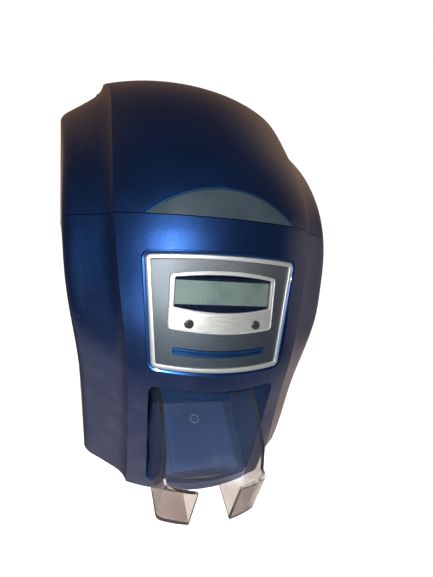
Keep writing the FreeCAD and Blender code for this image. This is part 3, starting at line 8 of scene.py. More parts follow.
# %% Load the fixed frame
import json
import math

import bmesh
import bpy
import numpy as np
from mathutils import Matrix, Vector


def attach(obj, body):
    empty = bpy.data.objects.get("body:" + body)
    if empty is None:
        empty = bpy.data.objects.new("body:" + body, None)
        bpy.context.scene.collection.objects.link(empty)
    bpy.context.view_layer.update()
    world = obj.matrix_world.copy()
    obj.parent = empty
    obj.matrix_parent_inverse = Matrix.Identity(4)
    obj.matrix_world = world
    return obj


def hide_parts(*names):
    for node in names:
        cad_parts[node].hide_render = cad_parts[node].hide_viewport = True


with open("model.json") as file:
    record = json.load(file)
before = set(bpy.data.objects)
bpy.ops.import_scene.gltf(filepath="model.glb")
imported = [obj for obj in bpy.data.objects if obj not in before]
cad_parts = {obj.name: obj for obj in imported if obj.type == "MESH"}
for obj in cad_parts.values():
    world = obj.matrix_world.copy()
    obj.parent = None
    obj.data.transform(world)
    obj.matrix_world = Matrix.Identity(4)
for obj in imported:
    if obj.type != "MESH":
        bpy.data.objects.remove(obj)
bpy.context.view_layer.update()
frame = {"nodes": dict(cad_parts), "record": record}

# %% [markdown]
# ## The camera
# The photograph was taken from the front left, looking down at about thirty degrees. We set the camera by
# its place and its three axes, which were solved from the machine's own symmetry, and give it the lens
# that the same solution found. Blender's sensor size belongs to the picture's long side here.

# %% Place the camera
CAMERA_PLACE = (-0.10486, -0.38273, 0.29417)
CAMERA_RIGHT = (0.9405, -0.2593, 0.2197)
CAMERA_UP = (-0.0405, 0.5563, 0.8300)
CAMERA_BACK = (-0.3374, -0.7895, 0.5127)
PICTURE_HEIGHT = 577
FOCAL_PIXELS = 460
SENSOR = 36.0
NEAREST_SEEN = 0.01

camera_data = bpy.data.cameras.new("photo_camera")
camera_data.sensor_width = SENSOR
camera_data.sensor_height = SENSOR
camera_data.sensor_fit = "AUTO"
camera_data.lens = FOCAL_PIXELS / PICTURE_HEIGHT * SENSOR
camera_data.clip_start = NEAREST_SEEN
camera = bpy.data.objects.new("photo_camera", camera_data)
bpy.context.scene.collection.objects.link(camera)
turn = Matrix((CAMERA_RIGHT, CAMERA_UP, CAMERA_BACK)).transposed()
camera.matrix_world = Matrix.Translation(CAMERA_PLACE) @ turn.to_4x4()
bpy.context.scene.camera = camera
print("lens", round(camera_data.lens, 2), "mm")

# %% [markdown]
# ## The floor
# A glossy dark casing shows mostly what it mirrors, so floor, lamps and room are part of the finish. The
# floor is pale and plain, and glows a little, so that no horizon shows behind the machine. It is left out
# of mirror images and of the soft light on the machine, because the room below gives both.

# %% Pale floor
FLOOR_HALF = 40.0
FLOOR_PAINT = (0.86, 0.86, 0.86, 1.0)
FLOOR_ROUGHNESS = 0.9
FLOOR_GLOW = 0.93
bpy.context.scene.view_settings.view_transform = "Standard"


def pale_floor():
    """A flat square on the table's level, large enough to fill the view."""
    corners = np.array([[-1, -1, 0], [1, -1, 0], [1, 1, 0], [-1, 1, 0]], float) * FLOOR_HALF
    mesh = bpy.data.meshes.new("pale_floor")
    mesh.from_pydata(corners.tolist(), [], [(0, 1, 2, 3)])
    floor = bpy.data.objects.new("pale_floor", mesh)
    bpy.context.scene.collection.objects.link(floor)
    paint = bpy.data.materials.new("pale_floor")
    paint.use_nodes = True
    shader = paint.node_tree.nodes["Principled BSDF"]
    shader.inputs["Base Color"].default_value = FLOOR_PAINT
    shader.inputs["Roughness"].default_value = FLOOR_ROUGHNESS
    shader.inputs["Emission Color"].default_value = (1.0, 1.0, 1.0, 1.0)
    shader.inputs["Emission Strength"].default_value = FLOOR_GLOW
    mesh.materials.append(paint)
    floor.visible_glossy = False
    floor.visible_diffuse = False
    return floor


print("floor:", pale_floor().name)

# %% [markdown]
# ## The lamps
# A small lamp close to the camera gives the metallic paint its blue glow. A large one high on the right
# and a warm one far behind fill the rest, and are left out of mirror images, where their squares would
# look false.

# %% Soft lights
AIM = (0.0, -0.05, 0.12)
CAMERA_LAMP = dict(place=(-0.158, -0.43, 0.355), width=0.012, height=0.012,
                   power=1.55, colour=(1.0, 0.99, 0.97))
CEILING_LAMP = dict(place=(0.5, -0.4, 1.5), width=1.0, height=1.0,
                    power=3.4, colour=(1.0, 0.96, 0.91))
FAR_LAMP = dict(place=(0.8, 1.2, 1.0), width=0.9, height=0.7,
                power=1.2, colour=(1.0, 0.85, 0.7))


def soft_light(name, place, width, height, power, colour):
    """A rectangular lamp at a place, turned so that it shines at the machine's middle."""
    lamp = bpy.data.lights.new(name, "AREA")
    lamp.shape = "RECTANGLE"
    lamp.size = width
    lamp.size_y = height
    lamp.energy = power
    lamp.color = colour
    holder = bpy.data.objects.new(name, lamp)
    bpy.context.scene.collection.objects.link(holder)
    holder.location = place
    holder.rotation_euler = (Vector(AIM) - Vector(place)).to_track_quat("-Z", "Y").to_euler()
    return holder


soft_light("camera_light", **CAMERA_LAMP)
for unseen in (soft_light("ceiling_light", **CEILING_LAMP), soft_light("far_light", **FAR_LAMP)):
    unseen.visible_glossy = False

# %% [markdown]
# ## Helpers for patterns
# Rooms and finishes are both trees of shader nodes. A helper makes one node and sets each of its inputs to
# a constant, or links it to an earlier node's socket. Most return the socket that the next node needs.

# %% Pattern helpers
def fed(tree, node, key, value):
    """Give one input of a node its value: a socket is linked, and anything else is a constant."""
    if isinstance(value, bpy.types.NodeSocket):
        tree.links.new(value, node.inputs[key])
    else:
        node.inputs[key].default_value = value


def add(tree, kind, **values):
    """A node of a kind with its inputs set by name."""
    node = tree.nodes.new("ShaderNode" + kind)
    for name, value in values.items():
        fed(tree, node, name.replace("_", " "), value)
    return node


def mixed(tree, share, first, second):
    """Two colours mixed by a share. A constant colour is three numbers, and is made opaque."""
    node = tree.nodes.new("ShaderNodeMix")
    node.data_type = "RGBA"
    fed(tree, node, 0, share)
    for key, value in ((6, first), (7, second)):
        fed(tree, node, key, (*value, 1.0) if isinstance(value, tuple) else value)
    return node.outputs[2]


def ranged(tree, value, low, high, to_low=0.0, to_high=1.0):
    """A value's place between low and high, carried smoothly to a new range."""
    node = add(tree, "MapRange", Value=value, From_Min=low, From_Max=high, To_Min=to_low, To_Max=to_high)
    node.interpolation_type = "SMOOTHSTEP"
    return node.outputs["Result"]


def reckoned(tree, operation, first, second=0.0):
    """The result of a math operation on two numbers, each a socket or a constant."""
    node = tree.nodes.new("ShaderNodeMath")
    node.operation = operation
    fed(tree, node, 0, first)
    fed(tree, node, 1, second)
    return node.outputs["Value"]


print("pattern helpers ready")

# %% [markdown]
# ## The room
# The room has three faces. Past the machine the camera sees white. The soft light that falls on the
# machine is pale and weak. What its lacquer mirrors is a dim room: dark near the camera, a pale table low
# down, a warm tan wall far behind, which only the rims that we see at a slant can mirror, and a tan wall
# on the right. The light path tells the three apart, and the direction of the mirrored ray picks the
# colour: X is to the right, Y away from the camera and Z up, each from -1 to 1.

# %% Room
WHITE_WALL = (1.0, 1.0, 1.0)
PALE_ROOM = (0.152, 0.152, 0.1536)
DIM_ROOM = (0.035, 0.032, 0.036)
TABLE_NEAR = (0.60, 0.54, 0.54)
TABLE_LEFT = (0.10, 0.085, 0.08)
TABLE_RIGHT = (0.52, 0.38, 0.29)
FAR_LEFT = (0.13, 0.08, 0.055)
FAR_RIGHT = (0.34, 0.22, 0.14)
RIGHT_SIDE = (0.40, 0.32, 0.27)
Y_TO_FAR_WALL = (0.0, 0.75)
Z_TO_CEILING = (0.3, 0.9)
X_ALONG_FAR_WALL = (0.25, 0.75)
X_TO_RIGHT_WALL = (0.90, 1.0)
X_ALONG_TABLE = (-0.35, 0.25)
Y_ALONG_TABLE = (-0.5, 0.5)
Z_FROM_TABLE = (-0.6, -0.2)

world = bpy.data.worlds.new("room")
world.use_nodes = True
bpy.context.scene.world = world
tree = world.node_tree
direction = add(tree, "SeparateXYZ", Vector=tree.nodes.new("ShaderNodeTexCoord").outputs["Generated"])
ray_x, ray_y, ray_z = (direction.outputs[axis] for axis in "XYZ")
below_ceiling = ranged(tree, ray_z, *Z_TO_CEILING, 1.0, 0.0)
far_share = reckoned(tree, "MULTIPLY", ranged(tree, ray_y, *Y_TO_FAR_WALL), below_ceiling)
far_wall = mixed(tree, ranged(tree, ray_x, *X_ALONG_FAR_WALL), FAR_LEFT, FAR_RIGHT)
side_share = reckoned(tree, "MULTIPLY", ranged(tree, ray_x, *X_TO_RIGHT_WALL), below_ceiling)
walls = mixed(tree, side_share, mixed(tree, far_share, DIM_ROOM, far_wall), RIGHT_SIDE)
table_far = mixed(tree, ranged(tree, ray_x, *X_ALONG_TABLE), TABLE_LEFT, TABLE_RIGHT)
table = mixed(tree, ranged(tree, ray_y, *Y_ALONG_TABLE), TABLE_NEAR, table_far)
mirrored = mixed(tree, ranged(tree, ray_z, *Z_FROM_TABLE, 1.0, 0.0), walls, table)
light_path = tree.nodes.new("ShaderNodeLightPath")
unseen_room = mixed(tree, light_path.outputs["Is Glossy Ray"], PALE_ROOM, mirrored)
shown = mixed(tree, light_path.outputs["Is Camera Ray"], unseen_room, WHITE_WALL)
tree.links.new(shown, tree.nodes["Background"].inputs["Color"])
print("room nodes:", len(tree.nodes))

# %% [markdown]
# ## Helpers for finishes
# Each finish is one material with a principled shader. A number that is the same all over is set on the
# shader's own socket. Only what varies over the surface, such as flakes, grain or a worn edge, comes from
# pattern nodes, which read the object's own coordinates in metres, so a scale of 1000 makes marks about a
# millimetre wide. Most of a noise's values lie in the middle of its range, so that middle is what we
# spread over two colours or two roughnesses.

# %% Finish helpers
NOISE_MIDDLE = (0.3, 0.7)


def finish(name, **constants):
    """A material with constants on its shader, its tree, its shader and the place on the object."""
    material = bpy.data.materials.new(name)
    material.use_nodes = True
    tree = material.node_tree
    shader = tree.nodes["Principled BSDF"]
    for key, value in constants.items():
        shader.inputs[key.replace("_", " ")].default_value = value
    return material, tree, shader, tree.nodes.new("ShaderNodeTexCoord").outputs["Object"]


def patterned(tree, shader, **sockets):
    """Link pattern sockets to the shader's inputs of the same names."""
    for key, socket in sockets.items():
        tree.links.new(socket, shader.inputs[key.replace("_", " ")])


def clouds(tree, place, scale, detail=3.0, rough=0.5):
    """Soft noise between 0 and 1. A scale of three numbers draws it out along the axis with the smallest."""
    if isinstance(scale, tuple):
        place = add(tree, "Mapping", Vector=place, Scale=scale).outputs["Vector"]
        scale = 1.0
    return add(tree, "TexNoise", Vector=place, Scale=scale, Detail=detail, Roughness=rough).outputs["Fac"]


def cells(tree, place, scale, output="Distance"):
    """Random cells: the distance to each cell's centre, or a colour for each."""
    return add(tree, "TexVoronoi", Vector=place, Scale=scale).outputs[output]


def blended(tree, first, first_share, second, second_share):
    """The sum of two patterns, each times its share."""
    return reckoned(tree, "ADD", reckoned(tree, "MULTIPLY", first, first_share),
                    reckoned(tree, "MULTIPLY", second, second_share))


def along(tree, place, origin, direction):
    """How far a place lies from an origin along a direction, in metres."""
    shifted = tree.nodes.new("ShaderNodeVectorMath")
    shifted.operation = "SUBTRACT"
    fed(tree, shifted, 0, place)
    fed(tree, shifted, 1, tuple(origin))
    dot = tree.nodes.new("ShaderNodeVectorMath")
    dot.operation = "DOT_PRODUCT"
    fed(tree, dot, 0, shifted.outputs["Vector"])
    fed(tree, dot, 1, tuple(direction))
    return dot.outputs["Value"]


def around(middle, spread):
    """The two ends of a range round a middle value."""
    return middle + spread[0], middle + spread[1]


def bumped(tree, shader, height, strength, distance):
    """Raise the surface by a pattern, to a distance in metres."""
    bump = add(tree, "Bump", Height=height, Strength=strength, Distance=distance)
    tree.links.new(bump.outputs["Normal"], shader.inputs["Normal"])


print("finish helpers ready")

# %% [markdown]
# ## The navy lacquer
# The casing is moulded in a dark plastic and sprayed with a metallic navy under a clear coat. The tiny
# aluminium flakes send the light of a lamp straight back, so the paint glows blue wherever it faces the
# light and turns nearly black elsewhere. We get that from a metallic base of middling roughness, and the
# mirror-like coat lies above it. Each flake is a Voronoi cell of less than half a millimetre with its own
# brightness. A broad noise makes the coat as uneven as sprayed paint is. Low down the paint is browner in
# streaks, a painted reflection of the brown table, and less metallic there; sparse pale specks are dust.

# %% Navy lacquer
NAVY_DEEP = (0.011, 0.040, 0.155)
NAVY_LIT = (0.026, 0.090, 0.30)
TABLE_REFLECTION_BROWN = (0.20, 0.165, 0.15)
DUST = (0.45, 0.42, 0.42)
FLAKE_SCALE = 2600.0
FLAKE_SHARE, CLOUD_SHARE = 0.6, 0.3
SPECK_RANGE, PATCH_RANGE = (0.745, 0.80), (0.5, 0.72)
TABLE_REFLECTION_HEIGHTS = (0.03, 0.15)
STREAK_SCALE, STREAK_RANGE, STREAK_SHARES = (26.0, 26.0, 60.0), (0.3, 0.8), (0.16, 0.42)
SMEAR_SCALE, SMEAR_RANGE, SMEAR_SPREAD = (30.0, 30.0, 9.0), (0.35, 0.75), (-0.03, 0.05)
FULL_DULLING, CLEAN_METAL, DULLED_METAL = 0.5, 0.92, 0.4


def lacquer(name, deep, lit, rough, dust_and_reflection):
    """Metallic flake paint under a clear coat, with a share of dust and of a painted reflection of the table
    low down.
    """
    material, tree, shader, place = finish(
        name, Coat_Weight=1.0, Coat_Roughness=0.04, Coat_IOR=1.5, Specular_IOR_Level=0.5)
    flake = add(tree, "SeparateColor", Color=cells(tree, place, FLAKE_SCALE, "Color")).outputs[0]
    broad = clouds(tree, place, scale=26.0, detail=2.0)
    paint = mixed(tree, blended(tree, flake, FLAKE_SHARE, broad, CLOUD_SHARE), deep, lit)
    speck = ranged(tree, clouds(tree, place, scale=900.0, detail=1.0), *SPECK_RANGE)
    patch = ranged(tree, clouds(tree, place, scale=14.0, detail=2.0), *PATCH_RANGE)
    dust = reckoned(tree, "MULTIPLY", reckoned(tree, "MULTIPLY", speck, patch), dust_and_reflection)
    height = add(tree, "SeparateXYZ", Vector=place).outputs["Z"]
    # Low down, brown streaks are a painted reflection of the table, and the paint is less metallic there.
    streak = clouds(tree, place, STREAK_SCALE, detail=5.0, rough=0.65)
    low_down = ranged(tree, height, *TABLE_REFLECTION_HEIGHTS, 1.0, 0.0)
    table_reflection_share = reckoned(tree, "MULTIPLY", low_down, ranged(tree, streak, *STREAK_RANGE, *STREAK_SHARES))
    table_reflection_share = reckoned(tree, "MULTIPLY", table_reflection_share, dust_and_reflection)
    smear = clouds(tree, place, SMEAR_SCALE, detail=4.0)
    metal = ranged(tree, reckoned(tree, "MAXIMUM", dust, table_reflection_share), 0.0, FULL_DULLING, CLEAN_METAL, DULLED_METAL)
    colour = mixed(tree, dust, mixed(tree, table_reflection_share, paint, TABLE_REFLECTION_BROWN), DUST)
    patterned(tree, shader, Base_Color=colour, Metallic=metal,
              Roughness=ranged(tree, smear, *SMEAR_RANGE, *around(rough, SMEAR_SPREAD)))
    bumped(tree, shader, clouds(tree, place, scale=420.0, detail=2.0), strength=0.02, distance=0.0002)
    return material


navy = lacquer("navy_lacquer", NAVY_DEEP, NAVY_LIT, rough=0.44, dust_and_reflection=1.0)
print("flakes are about", round(1000 / FLAKE_SCALE, 2), "mm wide")

# %% [markdown]
# ## The panel's paints and silver
# The panel is built up from a blue dish, a satin silver bezel, a dark brushed plate and a silver surround
# for the display. The blues are the casing's lacquer in brighter mixes and without dust; the palest, on the
# badge's trim, is a painted highlight for the lit edge round the badge. The silver's grain is noise
# stretched across the panel, and the same noise breaks up its roughness.

# %% Panel paints and silver
GRAIN_SHARE, TARNISH_SHARE = 0.75, 0.25
GRAIN_RANGE, GRAIN_SPREAD = (0.25, 0.75), (-0.06, 0.08)


def satin_metal(name, low, high, rough, grain_scale):
    """Brushed or satin metal: a colour range, a roughness, and how its grain is drawn out."""
    material, tree, shader, place = finish(name, Metallic=0.7, Anisotropic=0.35, Specular_IOR_Level=0.5)
    grain = clouds(tree, place, grain_scale, detail=5.0, rough=0.65)
    tarnish = clouds(tree, place, scale=40.0, detail=2.0)
    share = blended(tree, grain, GRAIN_SHARE, tarnish, TARNISH_SHARE)
    patterned(tree, shader, Base_Color=mixed(tree, ranged(tree, share, *NOISE_MIDDLE), low, high),
              Roughness=ranged(tree, grain, *GRAIN_RANGE, *around(rough, GRAIN_SPREAD)))
    bumped(tree, shader, grain, strength=0.08, distance=0.00005)
    return material


silver = satin_metal("satin_silver", (0.74, 0.77, 0.765), (0.87, 0.885, 0.87),
                     rough=0.46, grain_scale=(90.0, 1500.0, 1500.0))
slot_blue = lacquer("slot_blue", (0.016, 0.075, 0.25), (0.035, 0.15, 0.42), rough=0.5, dust_and_reflection=0.0)
panel_blue = lacquer("panel_blue", (0.014, 0.065, 0.24), (0.035, 0.15, 0.46), rough=0.36, dust_and_reflection=0.0)
# The trim's pale blue is a painted highlight, standing for the lit edge round the badge.
highlight_blue_trim = lacquer("highlight_blue_trim", (0.03, 0.16, 0.46), (0.07, 0.32, 0.80), rough=0.40, dust_and_reflection=0.0)
print("panel paints:", silver.name, slot_blue.name, panel_blue.name, highlight_blue_trim.name)

# %% [markdown]
# ## The brushed plate
# The plate is dark anodised sheet whose fine brush lines run across. A brush line is noise stretched
# nearly fiftyfold along X. Its top is painted lighter, a painted highlight where it catches the lamp, so
# both of its tones run from a lower to an upper colour. The panel is a tilted piece of a cylinder, given
# by its middle, its upward and outward directions and its radius.

# %% Brushed plate
PANEL_MID = np.array((0.0, -0.16185, 0.1307))
PANEL_UP = np.array((0.0, 0.45508, 0.89046))
PANEL_OUT = np.array((0.0, -0.89046, 0.45508))
PANEL_RADIUS = 0.130
PLATE_HALF_HEIGHT = 0.036
PLATE_DARK_LOW_TO_HIGHLIGHT = ((0.08, 0.108, 0.136), (0.135, 0.16, 0.185))
PLATE_PALE_LOW_TO_HIGHLIGHT = ((0.13, 0.17, 0.205), (0.235, 0.265, 0.29))
BRUSH_SCALE = (70.0, 3200.0, 3200.0)
BRUSH_RANGE, BRUSH_ROUGH = (0.2, 0.8), (0.46, 0.60)

plate, tree, shader, place = finish("brushed_plate", Metallic=0.8, Anisotropic=0.4, Specular_IOR_Level=0.5)
brush = clouds(tree, place, BRUSH_SCALE, detail=4.0, rough=0.7)
# Painted highlight: each tone runs from its lower colour to a lighter upper colour up the plate.
painted_highlight_share = ranged(tree, along(tree, place, PANEL_MID, PANEL_UP), -PLATE_HALF_HEIGHT, PLATE_HALF_HEIGHT)
dark_tone_lit_top, pale_tone_lit_top = mixed(tree, painted_highlight_share, *PLATE_DARK_LOW_TO_HIGHLIGHT), mixed(tree, painted_highlight_share, *PLATE_PALE_LOW_TO_HIGHLIGHT)
patterned(tree, shader, Base_Color=mixed(tree, ranged(tree, brush, *NOISE_MIDDLE), dark_tone_lit_top, pale_tone_lit_top),
          Roughness=ranged(tree, brush, *BRUSH_RANGE, *BRUSH_ROUGH))
bumped(tree, shader, brush, strength=0.1, distance=0.00004)
print("plate finish:", plate.name)

# %% [markdown]
# ## The display
# Two lines of blank character cells lie in a grey-green film of liquid crystal. We draw them as faint
# darker blocks from the distance across and up the panel. The film is painted paler on the left, a painted
# highlight where the lamp falls on it, and has a little light of its own.

# %% Display film
CELL_ACROSS = 0.0037
CELL_UP = 0.0066
DISPLAY_MID = 0.0127
FILM_HALF = 0.034
FILM_LEFT_PAINTED_HIGHLIGHT, FILM_RIGHT = (0.33, 0.47, 0.42), (0.17, 0.24, 0.20)
FILM_CELL, FILM_CLOUD = (0.10, 0.15, 0.12), (0.45, 0.52, 0.42)
CELL_SIDE_EDGE, CELL_FOOT_EDGE = (0.12, 0.2), (0.1, 0.16)
FILM_CELL_SHARE, FILM_CLOUD_SHARE = 0.10, 0.12

display, tree, shader, place = finish("display_film", Roughness=0.32, Specular_IOR_Level=0.4,
                                      Emission_Strength=0.26, Coat_Weight=0.6, Coat_Roughness=0.05)
across = along(tree, place, PANEL_MID, (1.0, 0.0, 0.0))
up = along(tree, place, PANEL_MID + DISPLAY_MID * PANEL_UP, PANEL_UP)
# Painted highlight: the film is paler on the left, where the lamp falls.
film = mixed(tree, ranged(tree, across, -FILM_HALF, FILM_HALF), FILM_LEFT_PAINTED_HIGHLIGHT, FILM_RIGHT)
column = reckoned(tree, "FRACT", reckoned(tree, "DIVIDE", across, CELL_ACROSS))
line = reckoned(tree, "FRACT", reckoned(tree, "DIVIDE", up, CELL_UP))
cell = reckoned(tree, "MULTIPLY", ranged(tree, column, *CELL_SIDE_EDGE), ranged(tree, line, *CELL_FOOT_EDGE))
film = mixed(tree, reckoned(tree, "MULTIPLY", cell, FILM_CELL_SHARE), film, FILM_CELL)
cloud = reckoned(tree, "MULTIPLY", clouds(tree, place, scale=160.0), FILM_CLOUD_SHARE)
film = mixed(tree, cloud, film, FILM_CLOUD)
patterned(tree, shader, Base_Color=film, Emission_Color=film)
print("display cells:", round(2 * FILM_HALF / CELL_ACROSS), "across")

# %% [markdown]
# ## The display's body and its pane
# Behind the film sits a nearly black module. The pane in front is clear and navy at heart, so it gets a
# low alpha instead of full transmission: the lamps then still reach the film behind it.

# %% Display body and pane
MODULE_ROUGH = (0.22, 0.34)
SMUDGE_RANGE, PANE_ALPHA = (0.4, 0.8), (0.13, 0.20)

display_body, tree, shader, place = finish("display_body", Specular_IOR_Level=0.5)
grain = clouds(tree, place, scale=1500.0)
patterned(tree, shader, Base_Color=mixed(tree, grain, (0.004, 0.008, 0.022), (0.010, 0.018, 0.045)),
          Roughness=ranged(tree, grain, *NOISE_MIDDLE, *MODULE_ROUGH))

pane, tree, shader, place = finish("tinted_pane", Roughness=0.03, Specular_IOR_Level=0.6, IOR=1.5)
smudge = ranged(tree, clouds(tree, place, scale=60.0, detail=4.0), *SMUDGE_RANGE)
patterned(tree, shader, Base_Color=mixed(tree, smudge, (0.006, 0.016, 0.06), (0.02, 0.035, 0.09)),
          Alpha=ranged(tree, smudge, 0.0, 1.0, *PANE_ALPHA))
print("behind and before the film:", display_body.name, pane.name)

# %% [markdown]
# ## Moulded plastics and rubbers
# The badge is satin slate, the buttons are dark and glossy, the chute is a plain navy, and the inner
# mouldings carry a spark texture, the fine pitting that a mould's steel is given. One function makes them
# all: two colours, a roughness, the size of the pits and their depth. Rubbers differ by being rougher and
# by a faint sheen of dust.

# %% Moulded finishes
PIT_SHARE, WORN_SHARE = 0.5, 0.6
TONE_RANGE, WORN_SPREAD = (0.3, 0.8), (-0.07, 0.07)


def moulded(name, low, high, rough, pits, depth, **more):
    """Textured plastic or rubber: pits of a size in metres, raised to a depth in metres."""
    material, tree, shader, place = finish(name, **more)
    pitted = cells(tree, place, 1.0 / pits)
    worn = clouds(tree, place, scale=35.0, detail=4.0)
    share = blended(tree, pitted, PIT_SHARE, worn, WORN_SHARE)
    patterned(tree, shader, Base_Color=mixed(tree, ranged(tree, share, *TONE_RANGE), low, high),
              Roughness=ranged(tree, worn, *NOISE_MIDDLE, *around(rough, WORN_SPREAD)))
    bumped(tree, shader, pitted, strength=0.35, distance=depth)
    return material


slate = moulded("slate_paint", (0.032, 0.052, 0.068), (0.052, 0.078, 0.098),
                rough=0.42, pits=0.0004, depth=0.00002, Coat_Weight=0.25)
button = moulded("button_grey", (0.022, 0.026, 0.028), (0.05, 0.055, 0.06),
                 rough=0.30, pits=0.0005, depth=0.000004, Coat_Weight=1.0, Coat_Roughness=0.12)
chute_navy = moulded("chute_navy", (0.010, 0.034, 0.10), (0.018, 0.056, 0.155),
                     rough=0.46, pits=0.0005, depth=0.000004, Coat_Weight=0.25)
ring_paint = moulded("ring_mark", (0.22, 0.30, 0.38), (0.34, 0.42, 0.50),
                     rough=0.4, pits=0.0004, depth=0.00001, Coat_Weight=0.3)
black = moulded("black_moulding", (0.010, 0.011, 0.013), (0.028, 0.029, 0.032),
                rough=0.5, pits=0.0006, depth=0.00004)
grey = moulded("grey_moulding", (0.09, 0.095, 0.10), (0.16, 0.165, 0.17),
               rough=0.48, pits=0.0006, depth=0.00004)
gear_white = moulded("gear_plastic", (0.62, 0.61, 0.56), (0.78, 0.77, 0.72),
                     rough=0.4, pits=0.0008, depth=0.00002, Subsurface_Weight=0.1)
sleeve = moulded("supply_cover", (0.035, 0.035, 0.037), (0.085, 0.083, 0.08),
                 rough=0.62, pits=0.0009, depth=0.00006)
roller = moulded("roller_rubber", (0.010, 0.010, 0.011), (0.035, 0.034, 0.034),
                 rough=0.72, pits=0.0003, depth=0.00003, Sheen_Weight=0.3)
tacky = moulded("tacky_rubber", (0.30, 0.36, 0.40), (0.42, 0.48, 0.52),
                rough=0.25, pits=0.0012, depth=0.00002, Coat_Weight=0.5)
foot_rubber = moulded("foot_rubber", (0.009, 0.009, 0.009), (0.03, 0.03, 0.03),
                      rough=0.78, pits=0.0004, depth=0.00005, Sheen_Weight=0.3)
motor_case = moulded("motor_steel", (0.012, 0.012, 0.013), (0.04, 0.04, 0.042),
                     rough=0.36, pits=0.0007, depth=0.00003, Coat_Weight=0.5)
print("moulded finishes, from", slate.name, "to", motor_case.name)

# %% [markdown]
# ## Metals inside
# The side frames and base plate are zinc-plated sheet with its pale spangle, the shafts are ground bright
# along their length, and the print head's heat sink is drawn aluminium. All three are the satin metal of
# the bezel with another grain: even in all directions, drawn out along X, or drawn out along Y.

# %% Inner metals
zinc = satin_metal("zinc_sheet", (0.42, 0.42, 0.40), (0.62, 0.62, 0.59),
                   rough=0.38, grain_scale=(160.0, 160.0, 160.0))
ground = satin_metal("ground_steel", (0.48, 0.48, 0.48), (0.66, 0.66, 0.66),
                     rough=0.24, grain_scale=(60.0, 2200.0, 2200.0))
heat_sink = satin_metal("head_metal", (0.40, 0.40, 0.42), (0.58, 0.58, 0.60),
                        rough=0.36, grain_scale=(900.0, 40.0, 900.0))
print("inner metals:", zinc.name, ground.name, heat_sink.name)

# %% [markdown]
# ## Circuit boards and ribbon
# The boards have a green solder mask over copper tracks. The tracks are thin lighter lines at an even
# pitch, and a noise decides block by block whether they run one way or the other. The ribbon's film is
# wound in hundreds of turns, so its edge and face show fine lines round the spool, which is noise
# stretched along it.

# %% Board and ribbon
TRACKS_PER_METRE = 390.0
BLOCK_EDGE, TRACK_EDGE = (0.48, 0.5), (0.62, 0.72)
BOARD_ROUGH, RIBBON_ROUGH = (0.30, 0.42), (0.22, 0.4)
WRAP_SCALE = (1800.0, 40.0, 40.0)

board, tree, shader, place = finish("circuit_green", Coat_Weight=0.5, Coat_Roughness=0.12)
rows = []
for direction in ((0.0, 1.0, 0.0), (0.0, 0.0, 1.0)):
    run = reckoned(tree, "MULTIPLY", along(tree, place, (0.0, 0.0, 0.0), direction), TRACKS_PER_METRE)
    rows.append(add(tree, "CombineXYZ", X=reckoned(tree, "FRACT", run)).outputs[0])
block_pick = ranged(tree, clouds(tree, place, scale=55.0, detail=1.0), *BLOCK_EDGE)
track = add(tree, "SeparateXYZ", Vector=mixed(tree, block_pick, *rows)).outputs["X"]
line_share = ranged(tree, track, *TRACK_EDGE)
patterned(tree, shader, Base_Color=mixed(tree, line_share, (0.006, 0.055, 0.022), (0.015, 0.11, 0.045)),
          Roughness=ranged(tree, line_share, 0.0, 1.0, *BOARD_ROUGH))
bumped(tree, shader, line_share, strength=0.4, distance=0.00003)

ribbon, tree, shader, place = finish("ribbon_film", Metallic=0.15, Coat_Weight=0.8, Coat_Roughness=0.08)
wraps = clouds(tree, place, WRAP_SCALE)
patterned(tree, shader, Base_Color=mixed(tree, wraps, (0.010, 0.008, 0.03), (0.04, 0.025, 0.085)),
          Roughness=ranged(tree, wraps, *NOISE_MIDDLE, *RIBBON_ROUGH))
print("board and ribbon:", board.name, ribbon.name)

# %% [markdown]
# ## The clear tray
# The tray is moulded in smoked clear polystyrene and scuffed by cards. Full transmission with the
# plastic's own index bends the view behind it as the real one does, and a long soft noise roughens it in
# patches where cards and fingers have rubbed. The part in the mouth is tinted paler and bluer than the
# browner prongs: painted light against the shade inside the casing. The tone changes over sixteen
# millimetres at the casing's front.

# %% Clear plastic
SCUFF_SCALE, SCUFF_RANGE, SCUFF_ROUGH = (60.0, 25.0, 60.0), (0.4, 0.8), (0.02, 0.14)
PRONG_CLEAN, PRONG_SCUFFED = (0.46, 0.40, 0.37), (0.34, 0.29, 0.27)
MOUTH_LIGHTENED_CLEAN, MOUTH_LIGHTENED_SCUFFED = (0.62, 0.66, 0.73), (0.50, 0.53, 0.60)
TONE_CHANGE = (-0.204, -0.188)

clear, tree, shader, place = finish("smoked_clear", IOR=1.46, Transmission_Weight=0.97,
                                    Specular_IOR_Level=0.5)
scuff = ranged(tree, clouds(tree, place, SCUFF_SCALE, detail=5.0, rough=0.6), *SCUFF_RANGE)
prong_tint = mixed(tree, scuff, PRONG_CLEAN, PRONG_SCUFFED)
# Painted light: the tint in the mouth is paler, against the shade inside the casing.
mouth_lightened = mixed(tree, scuff, MOUTH_LIGHTENED_CLEAN, MOUTH_LIGHTENED_SCUFFED)
inside = ranged(tree, along(tree, place, (0.0, 0.0, 0.0), (0.0, 1.0, 0.0)), *TONE_CHANGE)
patterned(tree, shader, Base_Color=mixed(tree, inside, prong_tint, mouth_lightened),
          Roughness=ranged(tree, scuff, 0.0, 1.0, *SCUFF_ROUGH))
bumped(tree, shader, clouds(tree, place, scale=120.0, detail=2.0), strength=0.12, distance=0.0004)
print("tray finish:", clear.name)

# %% [markdown]
# ## Dressing the solid pieces
# Every solid piece carries its maker's slot name, so one table turns slots into finishes. Three pieces
# differ from their slots. The display's module is dark, because its slot's finish belongs to the film, a
# piece of its own below. The chute is navy rather than grey, and the hand-feed slot's throat is blue.

